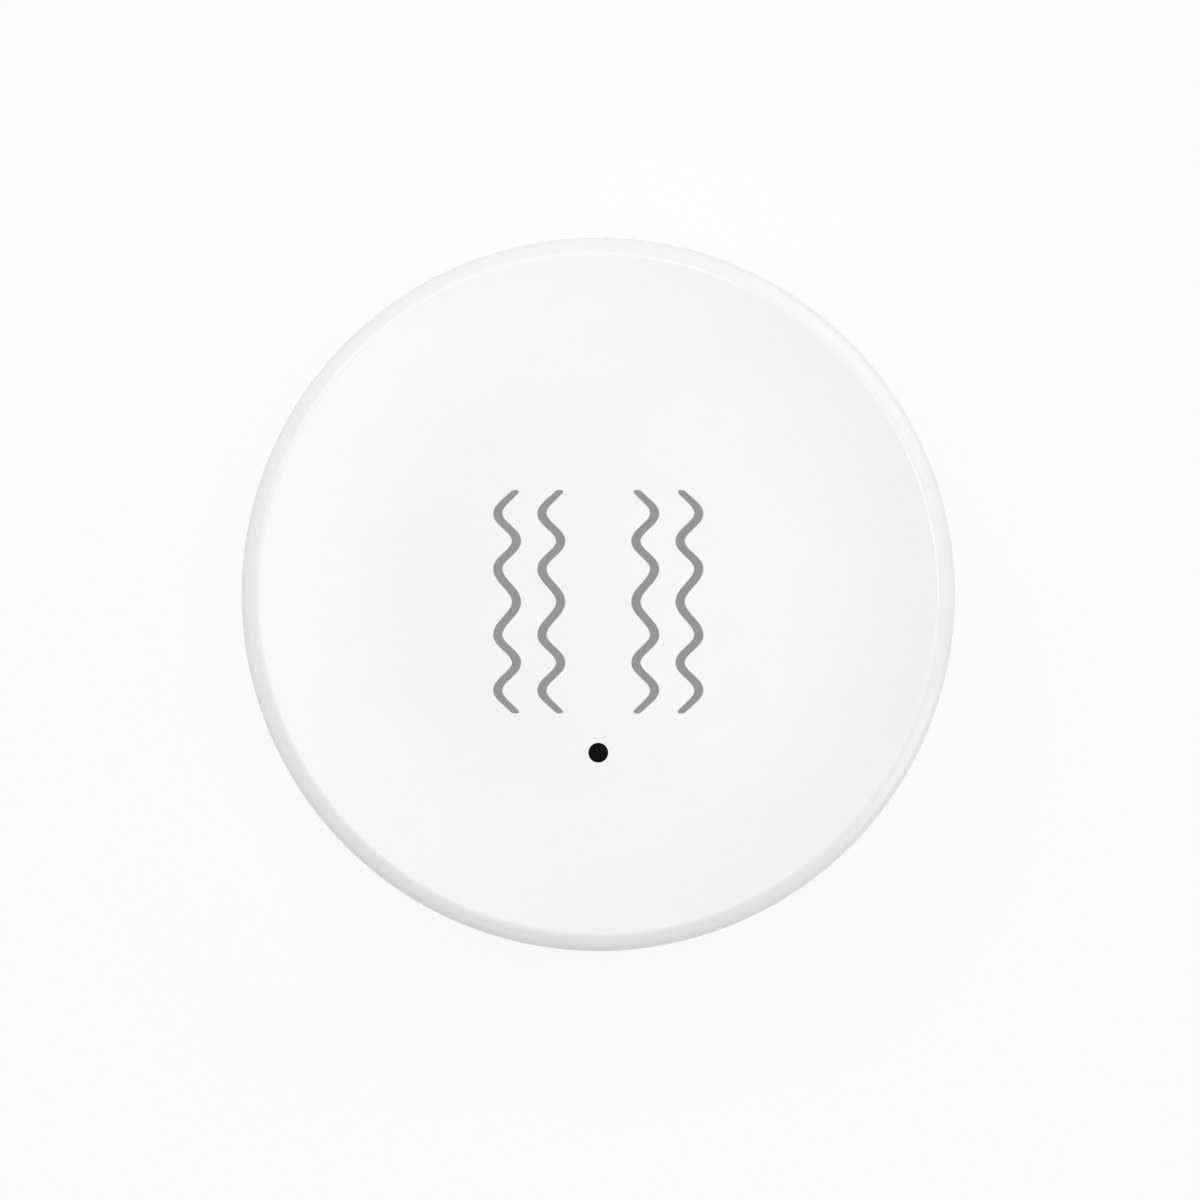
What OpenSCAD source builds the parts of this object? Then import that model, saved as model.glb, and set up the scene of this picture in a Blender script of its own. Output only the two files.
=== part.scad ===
// Round battery tag that senses vibration and reports it by radio.
// A base sticks to a surface by its pad and carries the board, the tray and two cells.
// A dished front cover turns on to the neck of the base and closes over them.
// The outer face of the pad lies on z = 0, the face looks along +Z, and +Y is the top of the face.

/* [Cells] */
// Diameter of a cell over its sleeve
cell_d = 10.5; // [8:0.1:14]
// Length of a cell with its nub
cell_l = 44.5; // [36:0.5:51]
// Diameter of the positive nub
nub_d = 3.8; // [3:0.1:5]
// Height of the positive nub
nub_h = 1; // [0.8:0.1:1.5]
// Thickness of the printed sleeve
sleeve_t = 0.15; // [0.1:0.05:0.3]
// Clearance between a can and its sleeve
sleeve_play = 0.03; // [0.02:0.01:0.06]
// Bare metal left at each end of the sleeve
sleeve_inset = 0.5; // [0.3:0.1:1.5]
// Gap between the two cells
cell_gap = 1.1; // [0.8:0.1:4]

/* [Battery tray] */
// Play round a cell in its trough
cell_play = 0.15; // [0.1:0.05:0.3]
// Thickness under a cell
tray_floor = 0.75; // [0.6:0.05:2]
// Thickness of the long walls
tray_wall = 1; // [0.8:0.1:2]
// Thickness of the end walls
tray_end = 1; // [0.8:0.1:1.5]
// Material outside the corners of the contact plates
tray_corner = 0.8; // [0.6:0.1:2]
// Height of the long walls above the cell axes
tray_rise = 0.8; // [0.4:0.1:3]
// Width of the finger cut in each long wall
finger_w = 16; // [10:1:24]
// Depth of the finger cut below the cell axes
finger_drop = 2; // [0.5:0.1:3]
// Thickness of the screw ears
ear_t = 1.2; // [1:0.1:2]

/* [Contacts] */
// Thickness of a contact plate
plate_t = 0.4; // [0.3:0.05:0.6]
// Width of a contact plate
plate_w = 9; // [7:0.5:10]
// Height of a contact plate above the cell axes
plate_up = 3.8; // [3:0.1:5]
// Play round a plate in its pocket
plate_play = 0.05; // [0.03:0.01:0.1]
// Height of the pressed bump on a positive contact
bump_h = 0.6; // [0.4:0.1:1]
// Diameter of the pressed bump
bump_d = 4; // [3:0.1:5]
// Width of the solder tail
tail_w = 1.6; // [1:0.1:2.5]
// Length of the solder tail below the board
tail_out = 0.5; // [0.3:0.1:0.7]
// Play round a solder tail
tail_play = 0.15; // [0.1:0.05:0.3]
// Length of a pressed contact spring
spring_l = 2.9; // [2.6:0.1:4]
// Diameter of the spring wire
wire_d = 0.5; // [0.4:0.05:0.6]
// Radius of the wide end of a spring
spring_wide_r = 3.5; // [3.3:0.1:4]
// Radius of the narrow end of a spring
spring_narrow_r = 1.6; // [1.3:0.1:1.7]
// Turns of a spring
spring_turns = 3; // [2:0.5:3]
// Clearance at each end of a spring
spring_play = 0.03; // [0.02:0.01:0.05]

/* [Circuit board] */
// Thickness of the board
board_t = 1.2; // [0.8:0.1:1.6]
// Board left outside the parts on it
board_edge = 0.4; // [0.2:0.1:2]
// Height of the bosses under the board
boss_h = 0.9; // [0.8:0.1:3]
// Diameter of a boss
boss_d = 4.6; // [4:0.1:6]
// Diameter of a screw's shank
screw_d = 2; // [1.6:0.1:2.5]
// Depth of a screw in its boss
screw_bite = 1.9; // [1.2:0.1:2]
// Diameter of a screw's head
head_d = 3.8; // [3.2:0.1:4.4]
// Height of a screw's head
head_h = 1.3; // [1:0.1:2]
// Width of the cross recess
cross_w = 0.55; // [0.4:0.05:0.8]
// Length of the cross recess
cross_l = 2.1; // [1.5:0.1:2.6]
// Depth of the cross recess
cross_deep = 0.7; // [0.4:0.1:0.9]
// Clearance of a screw in its boss
screw_play = 0.04; // [0.02:0.01:0.1]
// Clearance of a screw through the board and the ears
screw_gap = 0.2; // [0.1:0.05:0.3]
// Distance from the tray's long wall to the screws
screw_out = 3.3; // [2.5:0.1:4]

/* [Parts on the board] */
// Gap between the tray and the parts beside it
part_gap = 1.8; // [1:0.1:3]
// Length of the light pipe's foot
pipe_foot_l = 6; // [5.6:0.1:8]
// Width of the light pipe's foot
pipe_foot_w = 3.4; // [3:0.1:4]
// Height of the light pipe's foot
pipe_foot_h = 1.6; // [1.4:0.1:2.5]
// Diameter of the light pipe
pipe_d = 2.6; // [2:0.1:3]
// Gap between the light pipe's foot and the tray
pipe_gap = 0.3; // [0.2:0.05:1]
// Gap between the light pipe and the cover
pipe_top_gap = 0.35; // [0.3:0.05:1]
// Diameter of the light pipe's pegs
peg_d = 0.9; // [0.6:0.1:1]
// Clearance of a peg in the board
peg_play = 0.03; // [0.02:0.01:0.1]
// Length of the status light
led_l = 2; // [1.6:0.1:2.2]
// Width of the status light
led_w = 1.25; // [0.8:0.05:1.6]
// Height of the status light
led_h = 0.8; // [0.6:0.1:1.1]
// Room round the status light
led_room = 0.2; // [0.15:0.05:0.3]
// Gap from the light pipe's foot to the switches
side_gap = 6; // [4:0.5:8]
// Size of the accelerometer
sensor_w = 3; // [2:0.1:4]
// Height of the accelerometer
sensor_h = 1; // [0.7:0.1:1.5]
// Width of the radio module
module_w = 18; // [14:0.5:20]
// Depth of the radio module
module_d = 12; // [10:0.5:14]
// Thickness of the radio module's board
module_t = 0.8; // [0.6:0.1:1.2]
// Gap between the radio module and the tray
module_gap = 1; // [0.6:0.1:3]
// Width of the radio shield
shield_w = 14; // [10:0.5:17]
// Depth of the radio shield
shield_d = 7.6; // [6.5:0.1:9]
// Height of the radio shield
shield_h = 1.8; // [1.3:0.1:3]
// Thickness of the shield's sheet
shield_t = 0.2; // [0.15:0.05:0.3]
// Distance of the shield from the module's inner edge
shield_inset = 0.5; // [0.3:0.1:1]
// Size of the radio chip
chip_w = 6; // [4:0.5:6.5]
// Height of the radio chip
chip_h = 0.85; // [0.6:0.05:1]
// Length of the crystal
crystal_l = 3.2; // [2:0.1:4]
// Width of the crystal
crystal_w = 2.5; // [1.6:0.1:3]
// Height of the crystal
crystal_h = 0.7; // [0.5:0.1:0.9]
// Diameter of the buffer capacitor's can
can_d = 5; // [4:0.1:6]
// Height of the buffer capacitor with its foot
can_h = 5.4; // [4.5:0.1:8]
// Height of the buffer capacitor's foot
can_foot_h = 0.9; // [0.6:0.1:1.2]
// Rim of the foot round the can
can_foot_rim = 0.15; // [0.1:0.05:0.3]
// Length of the voltage regulator
regulator_l = 2.9; // [2:0.1:4]
// Width of the voltage regulator
regulator_w = 1.6; // [1.2:0.1:3]
// Height of the voltage regulator
regulator_h = 1.1; // [0.8:0.1:1.5]
// Length of a chip capacitor or resistor
small_l = 1.6; // [1:0.1:2]
// Width of a chip capacitor or resistor
small_w = 0.8; // [0.5:0.1:1.2]
// Height of a chip capacitor
cap_h = 0.8; // [0.5:0.1:1]
// Height of a chip resistor
res_h = 0.45; // [0.3:0.05:0.6]
// Length of a metal end
end_l = 0.3; // [0.2:0.05:0.4]
// Gap between neighbouring small parts
small_gap = 0.9; // [0.5:0.1:1.5]
// Chip capacitors beside the radio module
cap_count = 4; // [2:1:4]
// Chip resistors on each side of the accelerometer
res_count = 3; // [1:1:3]

/* [Pairing button] */
// Size of the switch body
tact_w = 6; // [5:0.1:6.5]
// Height of the switch body
tact_h = 3.1; // [2.5:0.1:5]
// Thickness of the steel plate
tact_plate_t = 0.3; // [0.2:0.05:0.4]
// Diameter of the plunger
plunger_d = 3.4; // [3:0.1:3.8]
// Depth of the plunger in the body
plunger_in = 1; // [0.8:0.1:1.4]
// Length of the plunger above the plate
plunger_out = 2.2; // [1.8:0.1:3]
// Travel of the button
press = 0.3; // [0.2:0.05:0.5]
// Room left under the plunger and the cap when pressed
press_room = 0.3; // [0.2:0.05:0.5]
// Clearance round the plunger
plunger_play = 0.08; // [0.05:0.01:0.15]
// Diameter of the button cap
button_d = 5.4; // [4.6:0.1:6]
// Thickness of the cap over the plunger
button_top = 1.2; // [0.8:0.1:2]
// Clearance between the cap and the plunger
button_play = 0.03; // [0.02:0.01:0.06]

/* [Sensitivity switch] */
// Width of the switch body
dip_w = 6.2; // [5.6:0.1:7]
// Length of the switch body
dip_l = 6.2; // [5.5:0.1:7]
// Height of the switch body
dip_h = 2.6; // [2:0.1:4]
// Spacing of the sliders
dip_pitch = 2.54; // [2:0.01:3]
// Width of a slot
slot_w = 1.3; // [1:0.05:1.5]
// Length of a slot
slot_l = 3.4; // [3:0.1:4]
// Depth of a slot
slot_deep = 1.1; // [0.8:0.1:1.5]
// Length of a slider
slider_l = 1.4; // [1:0.1:1.8]
// Height of a slider above the body
slider_up = 0.5; // [0.3:0.1:1]
// Clearance round a slider
slider_play = 0.08; // [0.05:0.01:0.12]

/* [Switch legs] */
// Width of a leg
leg_w = 0.7; // [0.4:0.1:1]
// Thickness of a leg
leg_t = 0.2; // [0.15:0.05:0.3]
// Reach of a leg's foot on the board
leg_out = 0.9; // [0.6:0.1:1.1]
// Height of a leg on the switch body
leg_up = 1.3; // [0.8:0.1:2]
// Spacing of the legs of the pairing switch
tact_leg_pitch = 4.5; // [3.5:0.1:4.6]

/* [Base] */
// Thickness of the floor
floor_t = 1.8; // [1.6:0.1:4]
// Thickness of the flange that shows under the cover
flange_t = 2.4; // [2:0.1:4]
// Thickness of the neck
neck_wall = 1.3; // [1.2:0.1:2.5]
// Clearance round the tray and the board in the neck
well_clear = 0.4; // [0.3:0.05:1]
// Round of the flange's lower edge
flange_round = 1; // [0.5:0.1:1.5]
// Round of the flange's upper edge
flange_top_round = 0.3; // [0.1:0.05:0.5]
// Round of the neck's top
neck_round = 0.4; // [0.2:0.05:0.5]
// Diameter of the adhesive pad
pad_d = 44; // [36:0.5:46]
// Thickness of the adhesive pad
pad_t = 1; // [0.8:0.1:2]
// Depth of the pad's recess
pad_sink = 0.4; // [0.2:0.05:0.6]
// Clearance round the pad
pad_clear = 0.3; // [0.1:0.05:0.5]

/* [Thread] */
// Number of ramps on the neck and lugs in the cover
starts = 3; // [2:1:3]
// Rise of the cover in one full turn
lead = 12; // [10:0.5:16]
// Depth of the ramps and lugs
thread_depth = 1.1; // [0.8:0.05:1.6]
// Radial clearance of the ramps and lugs
thread_clear = 0.3; // [0.2:0.05:0.4]
// Thickness of a ramp
ramp_t = 1.3; // [1:0.1:1.4]
// Angle that a ramp covers
ramp_span = 50; // [36:1:55]
// Thickness of a lug
lug_t = 1.3; // [1:0.1:1.4]
// Angle that a lug covers
lug_span = 24; // [16:1:30]
// Axial clearance between a lug and its ramp
axial_clear = 0.25; // [0.15:0.05:0.35]
// Height of the lugs above the cover's lower edge
lug_inset = 1.3; // [0.8:0.1:3]
// Angle that a stop covers
stop_span = 3.5; // [3:0.5:5]
// Gap between a stop and a closed lug
stop_gap = 0.3; // [0.2:0.05:0.5]
// Step from the outside of a ramp in to the outside of its stop
stop_step = 0.2; // [0.1:0.05:0.4]

/* [Seal] */
// Clearance round the seal's cord
seal_play = 0.08; // [0.05:0.01:0.15]
// Height of the bead that keeps the seal in the cover
bead_h = 0.4; // [0.3:0.05:0.8]
// Depth of the bead
bead_in = 0.35; // [0.2:0.05:0.5]
// Clearance between the bead and the ramps
bead_gap = 0.3; // [0.25:0.05:1]
// Neck above the seal
neck_over = 0.3; // [0.2:0.05:0.6]
// Clearance between the neck and the shoulder over the seal
shoulder_clear = 0.35; // [0.3:0.05:0.6]

/* [Front cover] */
// Thickness of the cover's side
cover_wall = 1.6; // [1.2:0.1:2.5]
// Thickness of the cover's front
front_wall = 1.8; // [1.6:0.1:3]
// Gap between the cells and the cover
cover_gap = 1.1; // [0.6:0.1:3]
// Gap that shows between the cover and the base
parting_gap = 0.3; // [0.2:0.05:0.6]
// Radius of the flat middle of the face
flat_r = 16; // [14:0.5:20]
// Height of the ridge over the middle of the face
dish_depth = 0.65; // [0.3:0.05:1.2]
// Width of the bevel outside the ridge
bevel_w = 1.55; // [1:0.05:3]
// Drop of the bevel to the side
bevel_drop = 1.35; // [0.8:0.05:3]
// Round of the ridge
ridge_round = 0.8; // [0.3:0.1:1]
// Round between the bevel and the side
edge_round = 0.6; // [0.2:0.1:1]
// Round of the cover's lower edge
skirt_round = 0.35; // [0.1:0.05:0.5]
// Round inside the corner between the front and the side
inner_round = 1; // [0.5:0.1:2]

/* [Light window] */
// Diameter of the window in the face
lens_d = 1.74; // [1.2:0.02:2.4]
// Diameter of the lens flange behind the face
lens_flange_d = 3.6; // [3:0.1:4.5]
// Thickness of the lens flange
lens_flange_t = 0.8; // [0.5:0.1:1]
// Clearance round the lens
lens_play = 0.03; // [0.02:0.01:0.06]
// Depth of the lens below the face
lens_sink = 0.05; // [0.02:0.01:0.2]

/* [Wave marks] */
// Distance of the inner lines from the middle
wave_inner = 4.21; // [3:0.01:5]
// Spacing of the lines on each side
wave_pitch = 3.96; // [3:0.01:5]
// Swing of a line to each side
wave_swing = 0.84; // [0.4:0.01:1]
// Height of a half wave next to the middle of a line
wave_mid = 2.97; // [2:0.01:3.2]
// Height of each further half wave
wave_half = 2.48; // [2:0.01:3]
// Half waves on each line
wave_count = 7; // [3:2:7]
// Rise of the straight tail at each end
wave_tail = 0.65; // [0.1:0.05:0.8]
// Width of a line
stroke_w = 0.76; // [0.4:0.01:1]
// Share of its width that a line loses at its ends
stroke_taper = 0.25; // [0:0.05:0.5]
// Length over which a line narrows
taper_l = 1.5; // [0.5:0.1:2]
// Height of the middle of the marks on the face
marks_y = -0.67; // [-1:0.01:1]
// Depth of the grooves that hold the print
mark_depth = 0.15; // [0.1:0.01:0.4]

/* [Hidden] */

$fn = 96;
arc_steps = 6;
dish_steps = 12;
wave_steps = 8;
ring_sides = 6;
rings_per_turn = 8;
ramp_step = 5;
// Overlap that carries a cut or a joined shape past the face that it meets
over = 0.5;

// Cells and tray in plan
cell_y = (cell_d + cell_gap) / 2;
trough_r = cell_d / 2 + cell_play;
tray_hw = cell_y + trough_r + tray_wall;
plate_x = (cell_l + spring_l + bump_h) / 2;
plate_y = cell_y + plate_w / 2;
tray_in_x = plate_x + plate_t + plate_play;
tray_hl = tray_in_x + tray_end;
can_r = cell_d / 2 - sleeve_t - sleeve_play;
can_l = cell_l - nub_h;

// Places of the parts beside the tray
led_y = -(tray_hw + pipe_gap + pipe_foot_w / 2);
peg_x = (pipe_foot_l - peg_d) / 2 - led_room;
tact_x = -(pipe_foot_l / 2 + side_gap + tact_w / 2);
tact_y = -(tray_hw + part_gap + tact_w / 2);
dip_x = pipe_foot_l / 2 + side_gap + dip_w / 2;
dip_y = -(tray_hw + part_gap + dip_l / 2);
sensor_y = led_y - pipe_foot_w / 2 - part_gap - sensor_w / 2;
module_y = tray_hw + module_gap + module_d / 2;
shield_y = module_y - module_d / 2 + shield_inset + shield_d / 2;
can_foot_w = can_d + 2 * can_foot_rim;
can_x = -(module_w / 2 + part_gap + can_foot_w / 2);
can_y = tray_hw + part_gap + can_foot_w / 2;
regulator_x = module_w / 2 + part_gap + regulator_l / 2;
regulator_y = tray_hw + part_gap + regulator_w / 2;
small_pitch = small_w + small_gap;
small_row_y = regulator_y + regulator_w / 2 + small_gap + small_w / 2;

// Radii from the widest part on the board outwards to the side of the cover
board_r = max(
    norm([tray_in_x, plate_y]) + tray_corner,
    norm([module_w / 2, module_y + module_d / 2]) + board_edge,
    norm([tact_x - tact_w / 2, tact_y - tact_w / 2]) + board_edge,
    norm([dip_x + dip_w / 2, dip_y - dip_l / 2]) + board_edge
);
well_r = board_r + well_clear;
neck_r = well_r + neck_wall;
cover_in_r = neck_r + thread_depth + thread_clear;
body_r = cover_in_r + cover_wall;
screw_y = tray_hw + screw_out;
ear_r = head_d / 2 + board_edge;
screw_x = sqrt(pow(board_r - ear_r, 2) - screw_y * screw_y);

// Heights from the pad up to the face
base_z = pad_t - pad_sink;
floor_z = base_z + floor_t;
board_z = floor_z + boss_h;
deck_z = board_z + board_t;
tray_z = deck_z + tray_floor;
cell_z = tray_z + trough_r;
plate_top_z = cell_z + plate_up;
ceiling_z = cell_z + cell_d / 2 + cover_gap;
face_z = ceiling_z + front_wall;
ridge_z = face_z + dish_depth;
flange_z = base_z + flange_t;
skirt_z = flange_z + parting_gap;
screw_z = deck_z + ear_t;

// Dish of the face, as one arc from the flat middle to the ridge
ridge_r = body_r - bevel_w;
dish_run = ridge_r - flat_r;
dish_r = (dish_run * dish_run + dish_depth * dish_depth) / (2 * dish_depth);
dish_angle = asin(dish_run / dish_r);

// Thread and seal
lug_z = skirt_z + lug_inset;
ramp_z = lug_z + lug_t + axial_clear;
stop_angle = 2 * asin(stop_gap / (2 * neck_r));
ramp_lap = stop_angle + stop_span / 2;
lug_r = neck_r + thread_clear;
ramp_r = cover_in_r - thread_clear;
stop_r = ramp_r - stop_step;
ramp_top_z = ramp_z + lead * ramp_span / 360 + ramp_t;
bead_z = ramp_top_z + bead_gap;
seal_cord_r = (cover_in_r - neck_r) / 2 - seal_play;
seal_ring_r = (cover_in_r + neck_r) / 2;
seal_z = bead_z + bead_h + seal_play + seal_cord_r;
shoulder_z = seal_z + seal_cord_r + seal_play;
shoulder_r = neck_r + shoulder_clear;
neck_z = shoulder_z + neck_over;

// Button and slider levels
tact_top_z = deck_z + tact_h + tact_plate_t;
plunger_z = tact_top_z + plunger_out;
button_z = tact_top_z + press + press_room;
slider_w = slot_w - 2 * slider_play;
slider_y = dip_y - slot_l / 2 + slider_play + slider_l / 2;

// Wavy line: end of its bends and reach of its tails from its middle
wave_bend = wave_mid + wave_half * (wave_count / 2 - 1);
wave_reach = wave_bend + wave_tail;

function unit(v) = v / norm(v);

// Arc that rounds the corner c between the points a and b
function corner_arc(a, c, b, radius) =
    let (
        to_a = unit(a - c),
        to_b = unit(b - c),
        half = acos(to_a * to_b) / 2,
        middle = c + unit(to_a + to_b) * radius / sin(half),
        first = c + to_a * radius / tan(half) - middle,
        last = c + to_b * radius / tan(half) - middle,
        side = sign(first.x * last.y - first.y * last.x),
        start = atan2(first.y, first.x),
        turn = side * (180 - 2 * half)
    )
    [for (i = [0 : arc_steps])
        let (a = start + turn * i / arc_steps)
        middle + radius * [cos(a), sin(a)]];

// Outline with a round at each corner, whose radius is the third number of its point
function rounded(points) =
    let (count = len(points))
    [for (i = [0 : count - 1])
        let (
            before = points[(i + count - 1) % count],
            here = points[i],
            after = points[(i + 1) % count]
        )
        each here.z == 0
            ? [[here.x, here.y]]
            : corner_arc([before.x, before.y], [here.x, here.y], [after.x, after.y], here.z)];

// Angle of the wave at the height s from the middle of its line, not counted on along the tails
function wave_phase(s) =
    let (h = min(abs(s), wave_bend))
    180 * (h <= wave_mid ? h / wave_mid : 1 + (h - wave_mid) / wave_half);

// Slope of the line at the height s
function wave_dx(s) =
    -sign(s) * wave_swing * PI / (abs(s) <= wave_mid ? wave_mid : wave_half) * sin(wave_phase(s));

// Sideways place of the line at the height s
function wave_x(s) =
    wave_swing * cos(wave_phase(s)) + wave_dx(s) * sign(s) * max(abs(s) - wave_bend, 0);

// Half the width of the line at the height s
function wave_half_w(s) =
    stroke_w / 2 * (1 - stroke_taper * max(1 - (wave_reach - abs(s)) / taper_l, 0));

// Heights at which a line is drawn
wave_rows = [
    -wave_reach,
    for (i = [-wave_steps * wave_count / 2 : wave_steps * wave_count / 2])
        let (halves = abs(i) / wave_steps)
        sign(i) * (halves <= 1 ? halves * wave_mid : wave_mid + (halves - 1) * wave_half),
    wave_reach
];

// Edge of a line, half its width to one side of its middle
function wave_edge(s, side) =
    let (along = unit([wave_dx(s), 1]))
    [wave_x(s), s] + side * wave_half_w(s) * [along.y, -along.x];

// Middle points of a contact spring that stands on the plane x = 0 and narrows along +X
spring_steps = spring_turns * rings_per_turn;
spring_path = [
    for (i = [0 : spring_steps])
        let (
            share = i / spring_steps,
            a = 360 * i / rings_per_turn,
            r = spring_wide_r + (spring_narrow_r - spring_wide_r) * share,
            first = wire_d / 2 + spring_play,
            last = spring_l - wire_d / 2 - spring_play
        )
        [first + (last - first) * share, r * cos(a), r * sin(a)]
];
spring_gap = min([
    for (i = [0 : spring_steps])
        for (j = [i + rings_per_turn / 2 : 1 : spring_steps])
            norm(spring_path[j] - spring_path[i]) - wire_d
]);
echo(str("Least gap between the turns of a contact spring: ", spring_gap, " mm"));

// Ring of points round the wire at one place on its path
function wire_ring(path, i) =
    let (
        along = unit(path[min(i + 1, len(path) - 1)] - path[max(i - 1, 0)]),
        out = unit(cross(along, [1, 0, 0])),
        up = cross(along, out)
    )
    [for (k = [0 : ring_sides - 1])
        let (a = 360 * k / ring_sides)
        path[i] + wire_d / 2 * (cos(a) * out + sin(a) * up)];

// Triangles of a closed tube made of rings with the same number of points
function tube_faces(rings, sides) = [
    for (i = [0 : rings - 2])
        for (k = [0 : sides - 1])
            let (
                a = i * sides + k,
                b = i * sides + (k + 1) % sides
            )
            each [[a, b, b + sides], [a, b + sides, a + sides]],
    for (k = [1 : sides - 2]) [0, k + 1, k],
    for (k = [1 : sides - 2])
        let (first = (rings - 1) * sides)
        [first, first + k, first + k + 1]
];

// Bar of rectangular section that climbs round the axis with the thread
module climbing_bar(inner_r, outer_r, z, height, from, to) {
    steps = ceil((to - from) / ramp_step);
    points = [
        for (i = [0 : steps])
            let (
                a = from + (to - from) * i / steps,
                low = z + lead * (a - from) / 360,
                out = [cos(a), sin(a)]
            )
            each [
                [inner_r * out.x, inner_r * out.y, low],
                [outer_r * out.x, outer_r * out.y, low],
                [outer_r * out.x, outer_r * out.y, low + height],
                [inner_r * out.x, inner_r * out.y, low + height]
            ]
    ];
    polyhedron(points, tube_faces(steps + 1, 4));
}

// Box centred on x and y that stands on z
module block(size, at) {
    translate([at.x - size.x / 2, at.y - size.y / 2, at.z])
        cube(size);
}

// Upright round bar from z to z + h
module post(d, h, at) {
    translate(at)
        cylinder(d = d, h = h);
}

// Places its children at the four screws
module at_screws() {
    for (x = [-screw_x, screw_x], y = [-screw_y, screw_y])
        translate([x, y, 0])
            children();
}

// Places its children at each start of the thread
module at_starts() {
    for (i = [0 : starts - 1])
        rotate(360 * i / starts)
            children();
}

module base() {
    color("whitesmoke")
        difference() {
            union() {
                rotate_extrude()
                    polygon(rounded([
                        [0, base_z + pad_sink, 0],
                        [pad_d / 2 + pad_clear, base_z + pad_sink, 0],
                        [pad_d / 2 + pad_clear, base_z, 0],
                        [body_r, base_z, flange_round],
                        [body_r, flange_z, flange_top_round],
                        [neck_r, flange_z, 0],
                        [neck_r, neck_z, neck_round],
                        [well_r, neck_z, neck_round],
                        [well_r, floor_z, 0],
                        [0, floor_z, 0]
                    ]));
                at_screws()
                    post(boss_d, boss_h + over, [0, 0, floor_z - over]);
                at_starts() {
                    climbing_bar(
                        neck_r - over, ramp_r, ramp_z - lead * ramp_lap / 360, ramp_t, -ramp_lap, ramp_span
                    );
                    neck_stop();
                }
            }
            at_screws()
                post(screw_d + 2 * screw_play, screw_bite + over, [0, 0, board_z - screw_bite - screw_gap]);
        }
}

// Upright stop on the flange, which runs up into the low end of a ramp
module neck_stop() {
    rotate(-stop_angle - stop_span)
        translate([0, 0, flange_z - over])
            rotate_extrude(angle = stop_span)
                translate([neck_r - over / 2, 0])
                    square([stop_r - neck_r + over / 2, ramp_z + ramp_t / 2 - flange_z + over]);
}

module adhesive_pad() {
    color("dimgray")
        cylinder(d = pad_d, h = pad_t);
}

module seal_ring() {
    color("darkslategray")
        translate([0, 0, seal_z])
            rotate_extrude()
                translate([seal_ring_r, 0])
                    circle(r = seal_cord_r);
}

// Cover before its window and grooves are cut
module cover_shell() {
    dish = [
        for (i = [0 : dish_steps])
            let (a = dish_angle * i / dish_steps)
            [flat_r + dish_r * sin(a), face_z + dish_r * (1 - cos(a)), i == dish_steps ? ridge_round : 0]
    ];
    rotate_extrude()
        polygon(rounded(concat(
            [[0, ceiling_z, 0], [0, face_z, 0]],
            dish,
            [
                [body_r, ridge_z - bevel_drop, edge_round],
                [body_r, skirt_z, skirt_round],
                [cover_in_r, skirt_z, skirt_round],
                [cover_in_r, bead_z, 0],
                [cover_in_r - bead_in, bead_z + bead_h / 3, 0],
                [cover_in_r - bead_in, bead_z + bead_h * 2 / 3, 0],
                [cover_in_r, bead_z + bead_h, 0],
                [cover_in_r, shoulder_z, 0],
                [shoulder_r, shoulder_z, 0],
                [shoulder_r, ceiling_z, inner_round]
            ]
        )));
    at_starts()
        climbing_bar(lug_r, cover_in_r + over, lug_z, lug_t, 0, lug_span);
}

module front_cover() {
    color("white")
        difference() {
            cover_shell();
            post(lens_d, front_wall + 2 * over, [0, led_y, ceiling_z - over]);
            post(lens_flange_d, lens_flange_t + over, [0, led_y, ceiling_z - over]);
            wave_lines(mark_depth + over);
        }
}

// The four wavy lines as upright shapes that start at the floor of the grooves
module wave_lines(height) {
    outline = concat(
        [for (s = wave_rows) wave_edge(s, 1)],
        [for (i = [len(wave_rows) - 1 : -1 : 0]) wave_edge(wave_rows[i], -1)]
    );
    for (side = [0, 1], x = [wave_inner, wave_inner + wave_pitch])
        mirror([side, 0, 0])
            translate([-x, marks_y, face_z - mark_depth])
                linear_extrude(height) {
                    polygon(outline);
                    for (s = [-wave_reach, wave_reach])
                        translate([wave_x(s), s])
                            circle(r = wave_half_w(s));
                }
}

module wave_marks() {
    color("darkgray")
        wave_lines(mark_depth);
}

module led_lens() {
    color([0.1, 0.1, 0.1])
        translate([0, led_y, ceiling_z]) {
            cylinder(d = lens_d - 2 * lens_play, h = front_wall - lens_sink);
            cylinder(d = lens_flange_d - 2 * lens_play, h = lens_flange_t);
        }
}

module circuit_board() {
    color("darkgreen")
        difference() {
            translate([0, 0, board_z])
                cylinder(r = board_r, h = board_t);
            at_screws()
                post(screw_d + 2 * screw_gap, board_t + 2 * over, [0, 0, board_z - over]);
            tail_slots();
            for (x = [-peg_x, peg_x])
                post(peg_d + 2 * peg_play, board_t + 2 * over, [x, led_y, board_z - over]);
        }
}

// Slots for the two solder tails, through the board and the floor of the tray
module tail_slots() {
    for (y = [-cell_y, cell_y])
        block(
            [plate_t + 2 * tail_play, tail_w + 2 * tail_play, tray_z - board_z + 2 * over],
            [-plate_x - plate_t / 2, y, board_z - over]
        );
}

module board_screws() {
    color("silver")
        at_screws()
            difference() {
                translate([0, 0, screw_z])
                    rotate_extrude()
                        polygon(rounded([
                            [0, ear_t_under_head(), 0],
                            [screw_d / 2, ear_t_under_head(), 0],
                            [screw_d / 2, 0, 0],
                            [head_d / 2, 0, 0],
                            [head_d / 2, head_h, head_h / 2],
                            [0, head_h, 0]
                        ]));
                for (turn = [0, 90])
                    rotate(turn)
                        block([cross_l, cross_w, head_h], [0, 0, screw_z + head_h - cross_deep]);
            }
}

// Height of a screw's tip from the underside of its head
function ear_t_under_head() = board_z - screw_bite - screw_z;

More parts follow.
